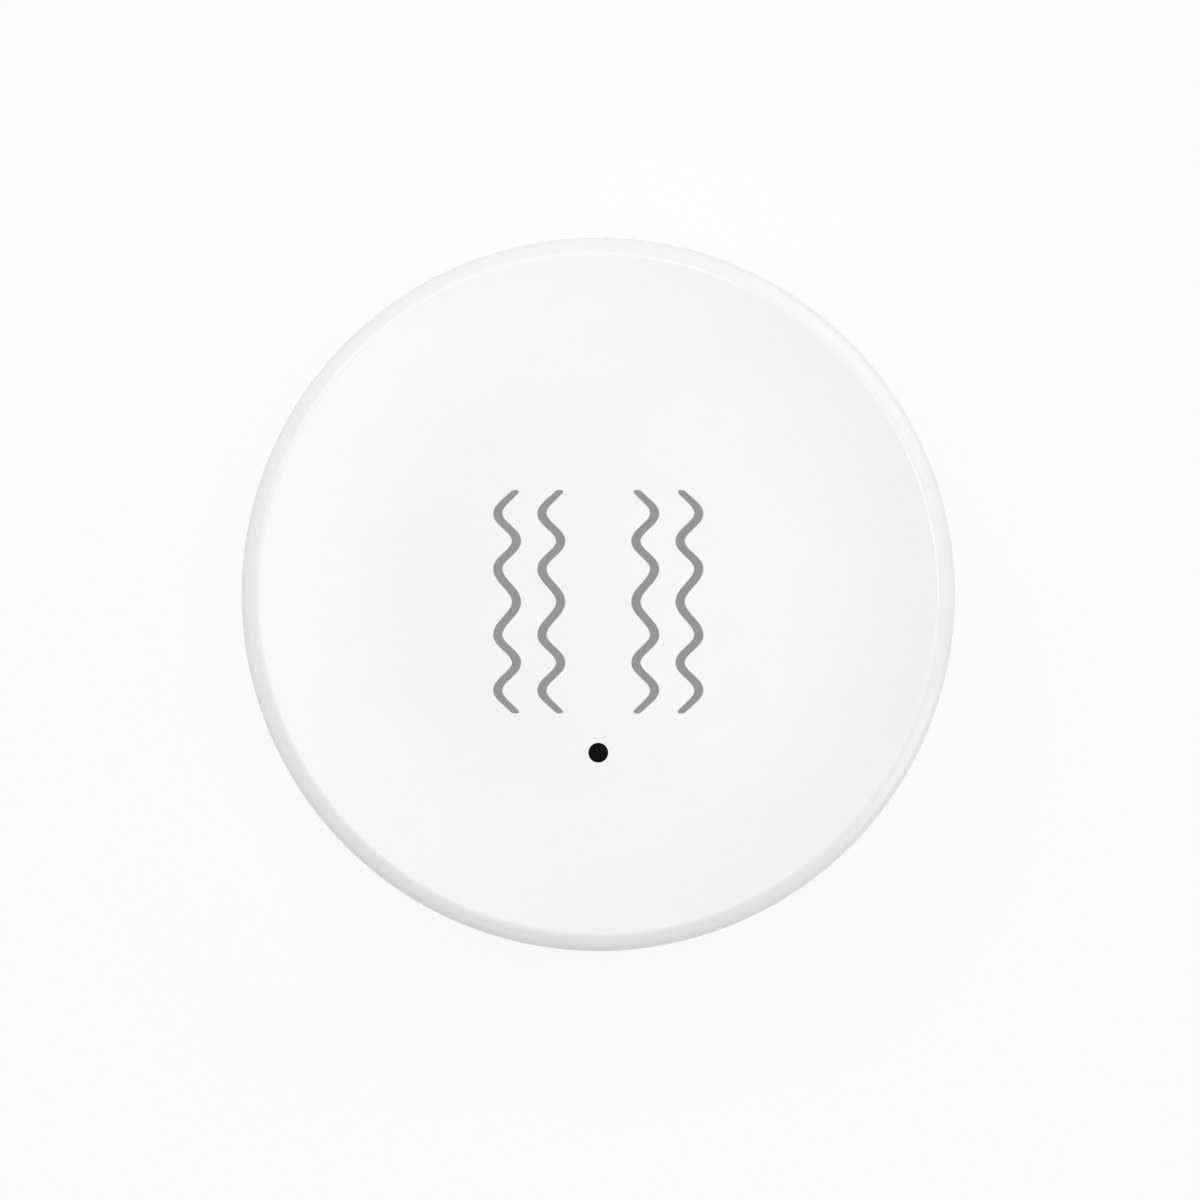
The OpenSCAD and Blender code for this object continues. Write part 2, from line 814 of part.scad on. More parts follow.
module battery_tray() {
    color("gainsboro")
        difference() {
            union() {
                intersection() {
                    union() {
                        block([2 * tray_hl, 2 * tray_hw, cell_z + tray_rise - deck_z], [0, 0, deck_z]);
                        for (x = [-1, 1])
                            block(
                                [tray_hl - plate_x, 2 * tray_hw, plate_top_z - deck_z],
                                [x * (tray_hl + plate_x) / 2, 0, deck_z]
                            );
                    }
                    post(2 * board_r, plate_top_z, [0, 0, 0]);
                }
                at_screws()
                    post(2 * ear_r, ear_t, [0, 0, deck_z]);
                for (x = [-screw_x, screw_x])
                    block([2 * ear_r, 2 * screw_y, ear_t], [x, 0, deck_z]);
            }
            for (y = [-cell_y, cell_y])
                trough(y);
            tail_slots();
            for (y = [-cell_y, cell_y])
                plate_pocket(-1, y, plate_w);
            plate_pocket(1, 0, 2 * plate_y);
            block(
                [finger_w, 2 * (tray_hw + over), finger_drop + tray_rise + over],
                [0, 0, cell_z - finger_drop]
            );
            at_screws()
                post(screw_d + 2 * screw_gap, ear_t + 2 * over, [0, 0, deck_z - over]);
        }
}

// Trough of one cell, round below the cell's axis and open above it
module trough(y) {
    translate([-plate_x, y, cell_z])
        rotate([0, 90, 0])
            cylinder(r = trough_r, h = 2 * plate_x);
    block([2 * plate_x, 2 * trough_r, plate_up + over], [0, y, cell_z]);
}

// Pocket of a contact plate inside an end wall
module plate_pocket(side, y, width) {
    block(
        [plate_t + plate_play, width + 2 * plate_play, plate_top_z - tray_z + over],
        [side * (plate_x + (plate_t + plate_play) / 2), y, tray_z]
    );
}

// Contact plate that stands in its pocket, against the cells on its inner face
module plate(side, y, width) {
    block(
        [plate_t, width, plate_top_z - tray_z - plate_play],
        [side * (plate_x + plate_t / 2), y, tray_z + plate_play]
    );
}

// Pressed bump on the inner face of a plate
module bump(side, y) {
    translate([side * (plate_x + plate_t / 2), y, cell_z])
        rotate([0, -side * 90, 0])
            cylinder(d1 = bump_d, d2 = bump_d / 2, h = plate_t / 2 + bump_h - spring_play);
}

// Solder tail under the middle of a plate
module tail(y) {
    bottom = board_z - tail_out;
    block(
        [plate_t, tail_w, tray_z + over - bottom],
        [-plate_x - plate_t / 2, y, bottom]
    );
}

// Contact spring on the inner face of a plate
module contact_spring(side, y) {
    points = [for (i = [0 : spring_steps]) each wire_ring(spring_path, i)];
    translate([side * plate_x, y, cell_z])
        rotate(side > 0 ? 180 : 0)
            polyhedron(points, tube_faces(spring_steps + 1, ring_sides));
}

// Cell with its nub towards +X, before it is put in its trough
module cell_can() {
    translate([-plate_x + spring_l, 0, 0])
        rotate([0, 90, 0])
            rotate_extrude()
                polygon(rounded([
                    [0, 0, 0],
                    [can_r, 0, sleeve_inset],
                    [can_r, can_l, sleeve_inset],
                    [nub_d / 2, can_l, 0],
                    [nub_d / 2, cell_l, nub_h / 3],
                    [0, cell_l, 0]
                ]));
}

module cell_sleeve() {
    translate([-plate_x + spring_l, 0, 0])
        rotate([0, 90, 0])
            difference() {
                translate([0, 0, sleeve_inset])
                    cylinder(d = cell_d, h = can_l - 2 * sleeve_inset);
                cylinder(r = can_r + sleeve_play, h = cell_l);
            }
}

module cell_a() {
    color("silver")
        translate([0, cell_y, cell_z])
            cell_can();
}

module cell_a_sleeve() {
    color("slategray")
        translate([0, cell_y, cell_z])
            cell_sleeve();
}

module cell_b() {
    color("silver")
        translate([0, -cell_y, cell_z])
            rotate(180)
                cell_can();
}

module cell_b_sleeve() {
    color("slategray")
        translate([0, -cell_y, cell_z])
            rotate(180)
                cell_sleeve();
}

module negative_terminal() {
    color("lightgray") {
        plate(-1, cell_y, plate_w);
        tail(cell_y);
    }
}

module negative_spring() {
    color("gray")
        contact_spring(-1, cell_y);
}

module positive_terminal() {
    color("lightgray") {
        plate(-1, -cell_y, plate_w);
        bump(-1, -cell_y);
        tail(-cell_y);
    }
}

module bridge_plate() {
    color("lightgray") {
        plate(1, 0, 2 * plate_y);
        bump(1, cell_y);
    }
}

module bridge_spring() {
    color("gray")
        contact_spring(1, -cell_y);
}

module radio_module() {
    color("darkblue")
        block([module_w, module_d, module_t], [0, module_y, deck_z]);
}

module radio_shield() {
    color("silver")
        translate([0, shield_y, deck_z + module_t])
            difference() {
                block([shield_w, shield_d, shield_h], [0, 0, 0]);
                block(
                    [shield_w - 2 * shield_t, shield_d - 2 * shield_t, shield_h - shield_t + over],
                    [0, 0, -over]
                );
            }
}

// Gap that parts the radio chip and the crystal evenly under the shield
function under_shield_gap() = (shield_w - 2 * shield_t - chip_w - crystal_l) / 3;

module radio_chip() {
    color("black")
        block(
            [chip_w, chip_w, chip_h],
            [chip_w / 2 + under_shield_gap() - shield_w / 2 + shield_t, shield_y, deck_z + module_t]
        );
}

module radio_crystal() {
    color("gold")
        block(
            [crystal_l, crystal_w, crystal_h],
            [shield_w / 2 - shield_t - under_shield_gap() - crystal_l / 2, shield_y, deck_z + module_t]
        );
}

module accelerometer() {
    color("black")
        block([sensor_w, sensor_w, sensor_h], [0, sensor_y, deck_z]);
}

module status_led() {
    color("ivory")
        block([led_l, led_w, led_h], [0, led_y, deck_z]);
}

module light_pipe() {
    color("lightcyan")
        difference() {
            union() {
                block([pipe_foot_l, pipe_foot_w, pipe_foot_h], [0, led_y, deck_z]);
                post(pipe_d, ceiling_z - pipe_top_gap - deck_z, [0, led_y, deck_z]);
                for (x = [-peg_x, peg_x])
                    post(peg_d, board_t + over, [x, led_y, board_z]);
            }
            block(
                [led_l + 2 * led_room, led_w + 2 * led_room, led_h + led_room + over],
                [0, led_y, deck_z - over]
            );
        }
}

module tact_switch() {
    color("black")
        difference() {
            block([tact_w, tact_w, tact_h], [tact_x, tact_y, deck_z]);
            post(
                plunger_d + 2 * plunger_play,
                plunger_in + press + press_room + over,
                [tact_x, tact_y, deck_z + tact_h - plunger_in - press - press_room]
            );
        }
}

module tact_plate() {
    color("silver")
        difference() {
            block([tact_w, tact_w, tact_plate_t], [tact_x, tact_y, deck_z + tact_h]);
            post(plunger_d + 2 * plunger_play, tact_h, [tact_x, tact_y, deck_z + tact_h - over]);
        }
}

module tact_plunger() {
    color("dimgray")
        post(
            plunger_d,
            plunger_in + tact_plate_t + plunger_out,
            [tact_x, tact_y, deck_z + tact_h - plunger_in]
        );
}

module button_cap() {
    color("white")
        translate([tact_x, tact_y, 0])
            difference() {
                translate([0, 0, button_z])
                    rotate_extrude()
                        polygon(rounded([
                            [0, 0, 0],
                            [button_d / 2, 0, 0],
                            [button_d / 2, plunger_z - button_z + button_top, button_top / 2],
                            [0, plunger_z - button_z + button_top, 0]
                        ]));
                post(plunger_d + 2 * button_play, plunger_z - button_z + over, [0, 0, button_z - over]);
            }
}

module dip_switch() {
    color("firebrick")
        difference() {
            block([dip_w, dip_l, dip_h], [dip_x, dip_y, deck_z]);
            for (side = [-1, 1])
                block(
                    [slot_w, slot_l, slot_deep + over],
                    [dip_x + side * dip_pitch / 2, dip_y, deck_z + dip_h - slot_deep]
                );
        }
}

// Slider at the low end of its slot
module dip_slider(side) {
    color("white")
        block(
            [slider_w, slider_l, slot_deep + slider_up - slider_play],
            [dip_x + side * dip_pitch / 2, slider_y, deck_z + dip_h - slot_deep + slider_play]
        );
}

module dip_slider_1() {
    dip_slider(-1);
}

module dip_slider_2() {
    dip_slider(1);
}

// Bent leg on the side of a switch whose face is the plane y = 0, reaching out along +Y
module leg() {
    block([leg_w, leg_t, leg_up], [0, leg_t / 2, 0]);
    block([leg_w, leg_out, leg_t], [0, leg_out / 2, 0]);
}

module switch_legs() {
    color("silver") {
        for (end = [0, 180], x = [-tact_leg_pitch / 2, tact_leg_pitch / 2])
            translate([tact_x, tact_y, deck_z])
                rotate(end)
                    translate([x, tact_w / 2, 0])
                        leg();
        for (end = [0, 180], x = [-dip_pitch / 2, dip_pitch / 2])
            translate([dip_x, dip_y, deck_z])
                rotate(end)
                    translate([x, dip_l / 2, 0])
                        leg();
    }
}

module buffer_capacitor() {
    color("silver")
        translate([can_x, can_y, deck_z + can_foot_h])
            rotate_extrude()
                polygon(rounded([
                    [0, 0, 0],
                    [can_d / 2, 0, 0],
                    [can_d / 2, can_h - can_foot_h, can_foot_rim],
                    [0, can_h - can_foot_h, 0]
                ]));
}

module capacitor_foot() {
    color("black")
        block([can_foot_w, can_foot_w, can_foot_h], [can_x, can_y, deck_z]);
}

module voltage_regulator() {
    color("black")
        block([regulator_l, regulator_w, regulator_h], [regulator_x, regulator_y, deck_z]);
}

// Places its children at the chip capacitors, above the voltage regulator
module at_capacitors() {
    for (i = [0 : cap_count - 1])
        translate([regulator_x, small_row_y + i * small_pitch, deck_z])
            children();
}

// Places its children at the chip resistors, on both sides of the accelerometer
module at_resistors() {
    for (side = [-1, 1], i = [0 : res_count - 1])
        translate([side * (sensor_w / 2 + small_gap + small_w / 2 + i * small_pitch), sensor_y, deck_z])
            rotate(90)
                children();
}

// Middle of a small part between its two metal ends
module small_body(height) {
    block([small_l - 2 * end_l, small_w, height], [0, 0, 0]);
}

// Metal ends of a small part
module small_ends(height) {
    for (side = [-1, 1])
        block([end_l, small_w, height], [side * (small_l - end_l) / 2, 0, 0]);
}

module chip_capacitors() {
    color("burlywood")
        at_capacitors()
            small_body(cap_h);
}

module chip_resistors() {
    color("black")
        at_resistors()
            small_body(res_h);
}

module chip_ends() {
    color("silver") {
        at_capacitors()
            small_ends(cap_h);
        at_resistors()
            small_ends(res_h);
    }
}

base();
adhesive_pad();
seal_ring();
front_cover();
wave_marks();
led_lens();
circuit_board();
board_screws();
battery_tray();
cell_a();
cell_a_sleeve();
cell_b();
cell_b_sleeve();
negative_terminal();
negative_spring();
positive_terminal();
bridge_plate();
bridge_spring();
radio_module();
radio_shield();
radio_chip();
radio_crystal();
accelerometer();
status_led();
light_pipe();
tact_switch();
tact_plate();
tact_plunger();
button_cap();
dip_switch();
dip_slider_1();
dip_slider_2();
switch_legs();
buffer_capacitor();
capacitor_foot();
voltage_regulator();
chip_capacitors();
chip_resistors();
chip_ends();
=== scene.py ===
"""Looks of a round battery tag that senses vibration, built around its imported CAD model, in metres."""

import math

import bmesh
import bpy
from mathutils import Matrix, Vector


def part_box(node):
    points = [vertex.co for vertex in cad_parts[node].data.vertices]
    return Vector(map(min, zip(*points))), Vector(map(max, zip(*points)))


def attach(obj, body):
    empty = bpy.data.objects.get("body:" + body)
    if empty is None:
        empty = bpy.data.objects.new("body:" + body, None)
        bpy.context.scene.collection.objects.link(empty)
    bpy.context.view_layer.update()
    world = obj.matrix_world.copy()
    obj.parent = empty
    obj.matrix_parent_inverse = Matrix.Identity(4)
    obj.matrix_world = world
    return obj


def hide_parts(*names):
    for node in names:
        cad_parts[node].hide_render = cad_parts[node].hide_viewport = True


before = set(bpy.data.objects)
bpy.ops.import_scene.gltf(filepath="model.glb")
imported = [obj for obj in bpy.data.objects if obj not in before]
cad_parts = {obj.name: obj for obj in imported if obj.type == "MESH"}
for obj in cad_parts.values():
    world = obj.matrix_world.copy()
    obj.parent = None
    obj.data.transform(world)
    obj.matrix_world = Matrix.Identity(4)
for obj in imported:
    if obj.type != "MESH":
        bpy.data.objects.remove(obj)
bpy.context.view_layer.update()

# Base
# A white tub, moulded in one shot from satin ABS. Its flange shows under the cover as a thin band,
# and its neck carries three ramps, each with a stop at its low end, that the cover turns on to.

base_low, base_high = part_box("base")
body_r = base_high.x
pad_sink = 0.0004
pad_recess_r = 0.0223
flange_top = 0.0030
flange_round = 0.0010
flange_top_round = 0.0003
recess_round = 0.0001
recess_edge_round = 0.00015
neck_r = 0.02903
neck_foot_round = 0.0003
neck_round = 0.0004
well_r = 0.02773
floor_top = 0.0024
floor_round = 0.0005
starts = 3
lead = 0.012
thread_round = 0.0002
thread_step = 2
round_steps = 192
merge_gap = 1e-7


def rounded(shape, point, soft, segments=6):
    """Rounds an outline where two of its edges meet."""
    before, after = (edge.other_vert(point).co - point.co for edge in point.link_edges)
    bmesh.ops.bevel(
        shape, geom=[point], offset=soft / math.tan(before.angle(after) / 2), offset_type="OFFSET",
        segments=segments, profile=0.5, affect="VERTICES", material=-1,
    )


def drawn(shape, corners):
    """Draws a half-section in the plane y = 0 from corners of (radius, height) and, if wanted, a round."""
    points = [shape.verts.new((radius, 0, height)) for radius, height, *_ in corners]
    for start, end in zip(points, points[1:]):
        shape.edges.new((start, end))
    for point, (_, _, *soft) in zip(points, corners):
        if soft:
            rounded(shape, point, *soft)
    return shape


def turned(shape, steps=round_steps):
    """Turns the half-section in a shape once round the z axis and closes it at the axis."""
    bmesh.ops.spin(
        shape, geom=shape.verts[:] + shape.edges[:], cent=(0, 0, 0), axis=(0, 0, 1),
        angle=math.tau, steps=steps, use_merge=True,
    )
    bmesh.ops.remove_doubles(shape, verts=shape.verts, dist=merge_gap)
    bmesh.ops.recalc_face_normals(shape, faces=shape.faces)
    return shape


def lathed(corners, steps=round_steps, x=0, y=0):
    """A form turned from the corners of its half-section, with its upright axis at a place."""
    shape = turned(drawn(bmesh.new(), corners), steps)
    bmesh.ops.translate(shape, verts=shape.verts, vec=(x, y, 0))
    return shape


def frozen(name, shape):
    """A mesh made of a finished shape."""
    mesh = bpy.data.meshes.new(name)
    shape.to_mesh(mesh)
    shape.free()
    return mesh


def added(shape, part, place=Matrix()):
    """Puts a finished part into a piece's shape."""
    part.transform(place)
    mesh = frozen("part", part)
    shape.from_mesh(mesh)
    bpy.data.meshes.remove(mesh)


def eased(shape, soft, sharper_than=30, segments=2):
    """Rounds the edges of a shape that are sharper than an angle in degrees."""
    edges = [e for e in shape.edges if e.is_manifold and e.calc_face_angle() > math.radians(sharper_than)]
    bmesh.ops.bevel(
        shape, geom=edges, offset=soft, offset_type="OFFSET", segments=segments, profile=0.5,
        affect="EDGES", clamp_overlap=True, material=-1,
    )
    return shape


def threaded(shape, inner_r, outer_r, low, height, start, end, lead):
    """Adds bars of rectangular section that climb round the axis, by lead in one full turn."""
    corners = ((inner_r, low), (outer_r, low), (outer_r, low + height), (inner_r, low + height))
    steps = math.ceil((end - start) / thread_step)
    rise = lead * (end - start) / 360
    for i in range(starts):
        bar = bmesh.new()
        face = bar.faces.new([bar.verts.new((radius, 0, z)) for radius, z in corners])
        bmesh.ops.spin(
            bar, geom=[face, *face.edges, *face.verts], cent=(0, 0, 0), axis=(0, 0, 1),
            dvec=(0, 0, rise / steps), angle=math.radians(end - start), steps=steps,
        )
        bmesh.ops.recalc_face_normals(bar, faces=bar.faces)
        turn = math.radians(start) + math.tau * i / starts
        added(shape, eased(bar, thread_round), Matrix.Rotation(turn, 4, "Z"))


def placed(name, data):
    """A new object in the scene."""
    fresh = bpy.data.objects.new(name, data)
    bpy.context.scene.collection.objects.link(fresh)
    return fresh


def made(name, shape, finish, body, slot, *nodes, crease=30):
    """Makes a piece of a shape: shaded smooth up to its creases, with its finish, body and nodes."""
    mesh = frozen(name, shape)
    mesh.shade_smooth()
    mesh.set_sharp_from_angle(angle=math.radians(crease))
    mesh.materials.append(finish)
    piece = placed(name, mesh)
    even = piece.modifiers.new("even_shading", "WEIGHTED_NORMAL")
    even.keep_sharp = True
    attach(piece, body)
    if nodes:
        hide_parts(*nodes)
    return piece


def node(tree, kind, sockets=None, **settings):
    """Adds a shader node with its settings; a socket's value may be another node's output."""
    fresh = tree.nodes.new("ShaderNode" + kind)
    for label, value in settings.items():
        setattr(fresh, label, value)
    for label, value in (sockets or {}).items():
        if isinstance(value, bpy.types.NodeSocket):
            tree.links.new(value, fresh.inputs[label])
        else:
            fresh.inputs[label].default_value = value
    return fresh


def skin_started(name, grain_kind="Float"):
    """Starts a skin, a group that varies a colour, a roughness and a relief over a surface."""
    skin = bpy.data.node_groups.new(name, "ShaderNodeTree")
    for label, kind in (("Colour", "Color"), ("Roughness", "Float"), ("Grain", grain_kind)):
        skin.interface.new_socket(label, in_out="INPUT", socket_type="NodeSocket" + kind)
    for label, kind in (("Colour", "Color"), ("Roughness", "Float"), ("Height", "Float")):
        skin.interface.new_socket(label, in_out="OUTPUT", socket_type="NodeSocket" + kind)
    place = node(skin, "TexCoord").outputs["Object"]
    return skin, skin.nodes.new("NodeGroupInput").outputs, place


def skin_ended(skin, given, shade, rough, height):
    """Ends a skin: its colour takes the shade, and its roughness and its relief go out."""
    tint = node(skin, "VectorMath", {0: given["Colour"], "Scale": shade}, operation="SCALE")
    result = skin.nodes.new("NodeGroupOutput").inputs
    for value, label in ((tint.outputs["Vector"], "Colour"), (rough, "Roughness"), (height, "Height")):
        skin.links.new(value, result[label])
    return skin


def noise(tree, place, scale, detail):
    """A pattern of soft spots."""
    return node(tree, "TexNoise", {"Vector": place, "Scale": scale, "Detail": detail}).outputs["Fac"]


def ranged(tree, pattern, low, high, start=0.3, end=0.7):
    """Spreads a pattern over a range of values."""
    spread = {"Value": pattern, "From Min": start, "From Max": end, "To Min": low, "To Max": high}
    return node(tree, "MapRange", spread).outputs["Result"]


def worked_out(tree, operation, *values):
    """The result of a sum on values."""
    return node(tree, "Math", dict(enumerate(values)), operation=operation).outputs["Value"]


def moulded_skin():
    """Skin of moulded plastic: faint clouds in the colour, patches of sheen and a fine grain."""
    skin, given, place = skin_started("moulded_skin")
    clouds = ranged(skin, noise(skin, place, scale=160.0, detail=3.0), 0.99, 1.0)
    sheen = ranged(skin, noise(skin, place, scale=300.0, detail=2.0), -0.015, 0.015)
    rough = worked_out(skin, "ADD", given["Roughness"], sheen)
    return skin_ended(skin, given, clouds, rough, noise(skin, place, scale=given["Grain"], detail=2.0))


plastic_skin = moulded_skin()


def painted(name, **sockets):
    """A new material, with constants set on its shader, and its tree of nodes."""
    material = bpy.data.materials.new(name)
    material.use_nodes = True
    tree = material.node_tree
    for label, value in sockets.items():
        tree.nodes["Principled BSDF"].inputs[label.replace("_", " ")].default_value = value
    return material, tree


def coated(tree, skin, colour, rough, grain, relief):
    """Lays a skin on a material's shader, which takes colour, roughness and relief from it."""
    shader = tree.nodes["Principled BSDF"]
    look = node(tree, "Group", {"Colour": colour, "Roughness": rough, "Grain": grain}, node_tree=skin)
    bump = node(tree, "Bump", {"Height": look.outputs["Height"], "Distance": relief})
    tree.links.new(look.outputs["Colour"], shader.inputs["Base Color"])
    tree.links.new(look.outputs["Roughness"], shader.inputs["Roughness"])
    tree.links.new(bump.outputs["Normal"], shader.inputs["Normal"])


def surface(name, skin, colour, rough, grain, relief, **sockets):
    """A material with a skin in one colour; the other sockets are set on the shader."""
    material, tree = painted(name, **sockets)
    coated(tree, skin, (*colour, 1), rough, grain, relief)
    return material


def plastic(name, colour, rough, grain, relief, **sockets):
    """A material of moulded plastic, or of ink and resin that look alike."""
    return surface(name, plastic_skin, colour, rough, grain, relief, **sockets)


base_plastic = plastic("base_plastic", (0.84, 0.84, 0.835), rough=0.42, grain=8000, relief=3e-6)

base = lathed((
    (0, base_low.z + pad_sink),
    (pad_recess_r, base_low.z + pad_sink, recess_round),
    (pad_recess_r, base_low.z, recess_edge_round),
    (body_r, base_low.z, flange_round),
    (body_r, flange_top, flange_top_round),
    (neck_r, flange_top, neck_foot_round),
    (neck_r, base_high.z, neck_round),
    (well_r, base_high.z, neck_round),
    (well_r, floor_top, floor_round),
    (0, floor_top),
))

screw_x, screw_y = 0.01965, 0.0155
boss_r = 0.0023
boss_hole_r = 0.00104
boss_hole_low = 0.0012
boss_round = 0.00015
boss_hole_round = 0.0001
boss_foot = boss_hole_low - 0.0001
board_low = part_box("circuit_board")[0].z
for x, y in [(x, y) for x in (-screw_x, screw_x) for y in (-screw_y, screw_y)]:
    added(base, lathed((
        (0, boss_hole_low),
        (boss_hole_r, boss_hole_low),
        (boss_hole_r, board_low, boss_hole_round),
        (boss_r, board_low, boss_round),
        (boss_r, boss_foot),
        (0, boss_foot),
    ), steps=48, x=x, y=y))

ramp_r = 0.03013
ramp_low = 0.00607
ramp_height = 0.0013
ramp_start, ramp_end = -2.34, 50
stop_r = 0.02993
stop_start, stop_end = -4.09, -0.59
stop_top = 0.0068
stop_foot = flange_top - 0.0005
ramp_sink = 0.0004
stop_sink = 0.0002
threaded(base, neck_r - ramp_sink, ramp_r, ramp_low, ramp_height, ramp_start, ramp_end, lead)
threaded(base, neck_r - stop_sink, stop_r, stop_foot, stop_top - stop_foot, stop_start, stop_end, lead=0)
made("base_tub", base, base_plastic, "base", "base_plastic", "base")

# Adhesive pad
# A disc of grey closed-cell foam with glue on both sides, die-cut and pressed into the base's recess.
# Its cut edge bulges a little, and its outer face lies on the surface that the tag watches.

pad_low, pad_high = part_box("adhesive_pad")
pad_r = pad_high.x
pad_edge = 0.0003
pad_bulge = 0.0002


def foam_skin():
    """Skin of closed-cell foam: small cells that pit the surface, darker in their hollows by painted shade.
    """
    skin, given, place = skin_started("foam_skin")
    cells = node(skin, "TexVoronoi", {"Vector": place, "Scale": given["Grain"]}).outputs["Distance"]
    # Painted shade: the colour darkens where the cells sink, as the same cells make the relief.
    depth = ranged(skin, cells, 0.6, 1.1, start=0.0)
    mottle = ranged(skin, noise(skin, place, scale=500.0, detail=4.0), 0.8, 1.1)
    shade = worked_out(skin, "MULTIPLY", depth, mottle)
    rough = worked_out(skin, "MULTIPLY", given["Roughness"], mottle)
    return skin_ended(skin, given, shade, rough, cells)


pad_foam = surface(
    "pad_foam", foam_skin(), (0.15, 0.15, 0.155), rough=0.75, grain=4500, relief=4e-5,
    Sheen_Weight=0.1,
)
pad = lathed((
    (0, pad_low.z),
    (pad_r - pad_bulge, pad_low.z, pad_edge),
    (pad_r, (pad_low.z + pad_high.z) / 2, pad_edge),
    (pad_r - pad_bulge, pad_high.z, pad_edge),
    (0, pad_high.z),
))
made("foam_pad", pad, pad_foam, "base", "pad_foam", "adhesive_pad")

# Circuit board
# A round glass-fibre board with green solder mask over copper. Tracks show as paler lines under the
# mask, tinned pads and plated holes lie open, and a white legend frames the parts.

deck_low, deck_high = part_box("circuit_board")
deck_r = deck_high.x
deck_z = deck_high.z
copper_t = 0.000025
ink_t = 0.000012


def pulled(shape, rows):
    """Pulls an edge through rows of (left, right) points and leaves a strip behind it."""
    edge = shape.edges.new([shape.verts.new(point) for point in rows[0]])
    left = edge.verts[0]
    for next_left, next_right in rows[1:]:
        grown = bmesh.ops.extrude_edge_only(shape, edges=[edge])["geom"]
        ends = [g for g in grown if isinstance(g, bmesh.types.BMVert)]
        edge = next(g for g in grown if isinstance(g, bmesh.types.BMEdge) and set(g.verts) == set(ends))
        ends.sort(key=lambda v: (v.co - left.co).length)
        left = ends[0]
        ends[0].co, ends[1].co = next_left, next_right


def thickened(shape, height):
    """Raises a flat film to its thickness, with its foot where it was."""
    grown = bmesh.ops.extrude_face_region(shape, geom=shape.faces[:])["geom"]
    raised = [g for g in grown if isinstance(g, bmesh.types.BMVert)]
    bmesh.ops.translate(shape, verts=raised, vec=(0, 0, height))
    bmesh.ops.recalc_face_normals(shape, faces=shape.faces)


def line(shape, points, width, z):
    """A line of even width through points on a flat face, mitred at its corners."""
    points = [Vector((x, y, z)) for x, y in points]
    rows = []
    for i, point in enumerate(points):
        before = (point - points[i - 1]).normalized() if i else None
        after = (points[i + 1] - point).normalized() if i + 1 < len(points) else before
        before = before or after
        across = Vector((before.y + after.y, -before.x - after.x, 0)).normalized()
        across *= width / 2 / across.dot(Vector((after.y, -after.x, 0)))
        rows.append((point - across, point + across))
    pulled(shape, rows)


def printed(name, strokes, z, height, finish, slot):
    """A piece of lines, given as (points, width), that lie on a flat face with a small thickness."""
    shape = bmesh.new()
    for points, width in strokes:
        line(shape, points, width, z)
    thickened(shape, height)
    made(name, shape, finish, "base", slot)


def block(size, centre, low, soft, segments=2):
    """A block with eased edges that stands on the height low."""
    shape = bmesh.new()
    bmesh.ops.create_cube(shape, size=1)
    bmesh.ops.scale(shape, verts=shape.verts, vec=size)
    bmesh.ops.translate(shape, verts=shape.verts, vec=(centre[0], centre[1], low + size[2] / 2))
    return eased(shape, soft, segments=segments)


def mask_skin():
    """Skin of solder mask: a gloss coat, with the weave of the glass cloth just showing through."""
    skin, given, place = skin_started("mask_skin")
    bands = {"Vector": place, "Scale": given["Grain"]}
    threads = [node(skin, "TexWave", bands, bands_direction=way).outputs["Fac"] for way in "XY"]
    weave = worked_out(skin, "MULTIPLY", *threads)
    mottle = ranged(skin, noise(skin, place, scale=260.0, detail=4.0), 0.85, 1.1)
    shade = worked_out(skin, "MULTIPLY", mottle, ranged(skin, weave, 0.96, 1.04, start=0.0, end=1.0))
    rough = worked_out(skin, "MULTIPLY", given["Roughness"], mottle)
    return skin_ended(skin, given, shade, rough, weave)


def metal_skin():
    """Skin of worked metal: fine lines drawn out along one axis, in the colour and the gloss."""
    skin, given, place = skin_started("metal_skin", grain_kind="Vector")
    drawn_out = node(skin, "VectorMath", {0: place, 1: given["Grain"]}, operation="MULTIPLY")
    lines = noise(skin, drawn_out.outputs["Vector"], scale=1.0, detail=3.0)
    stains = ranged(skin, noise(skin, place, scale=420.0, detail=4.0), 0.88, 1.02)
    rough = worked_out(skin, "MULTIPLY", given["Roughness"], ranged(skin, lines, 0.75, 1.3))
    return skin_ended(skin, given, stains, rough, lines)


board_skin = mask_skin()
worked_skin = metal_skin()


def metal(name, colour, rough, grain, relief):
    """A material of worked metal; its grain is finer the larger the number is along each axis."""
    return surface(name, worked_skin, colour, rough, grain, relief, Metallic=1.0)


board_mask = surface("board_mask", board_skin, (0.012, 0.10, 0.045), rough=0.3, grain=600, relief=4e-6)
covered_copper = surface(
    "covered_copper", board_skin, (0.03, 0.20, 0.085), rough=0.28, grain=600, relief=4e-6,
)
solder_tin = metal("solder_tin", (0.72, 0.72, 0.71), rough=0.32, grain=(3000, 3000, 3000), relief=6e-6)
legend_ink = plastic("legend_ink", (0.78, 0.78, 0.76), rough=0.6, grain=9000, relief=3e-6)

deck_round = 0.00008
board = lathed((
    (0, deck_low.z),
    (deck_r, deck_low.z, deck_round),
    (deck_r, deck_z, deck_round),
    (0, deck_z),
))
made("green_board", board, board_mask, "base", "board_laminate", "circuit_board")

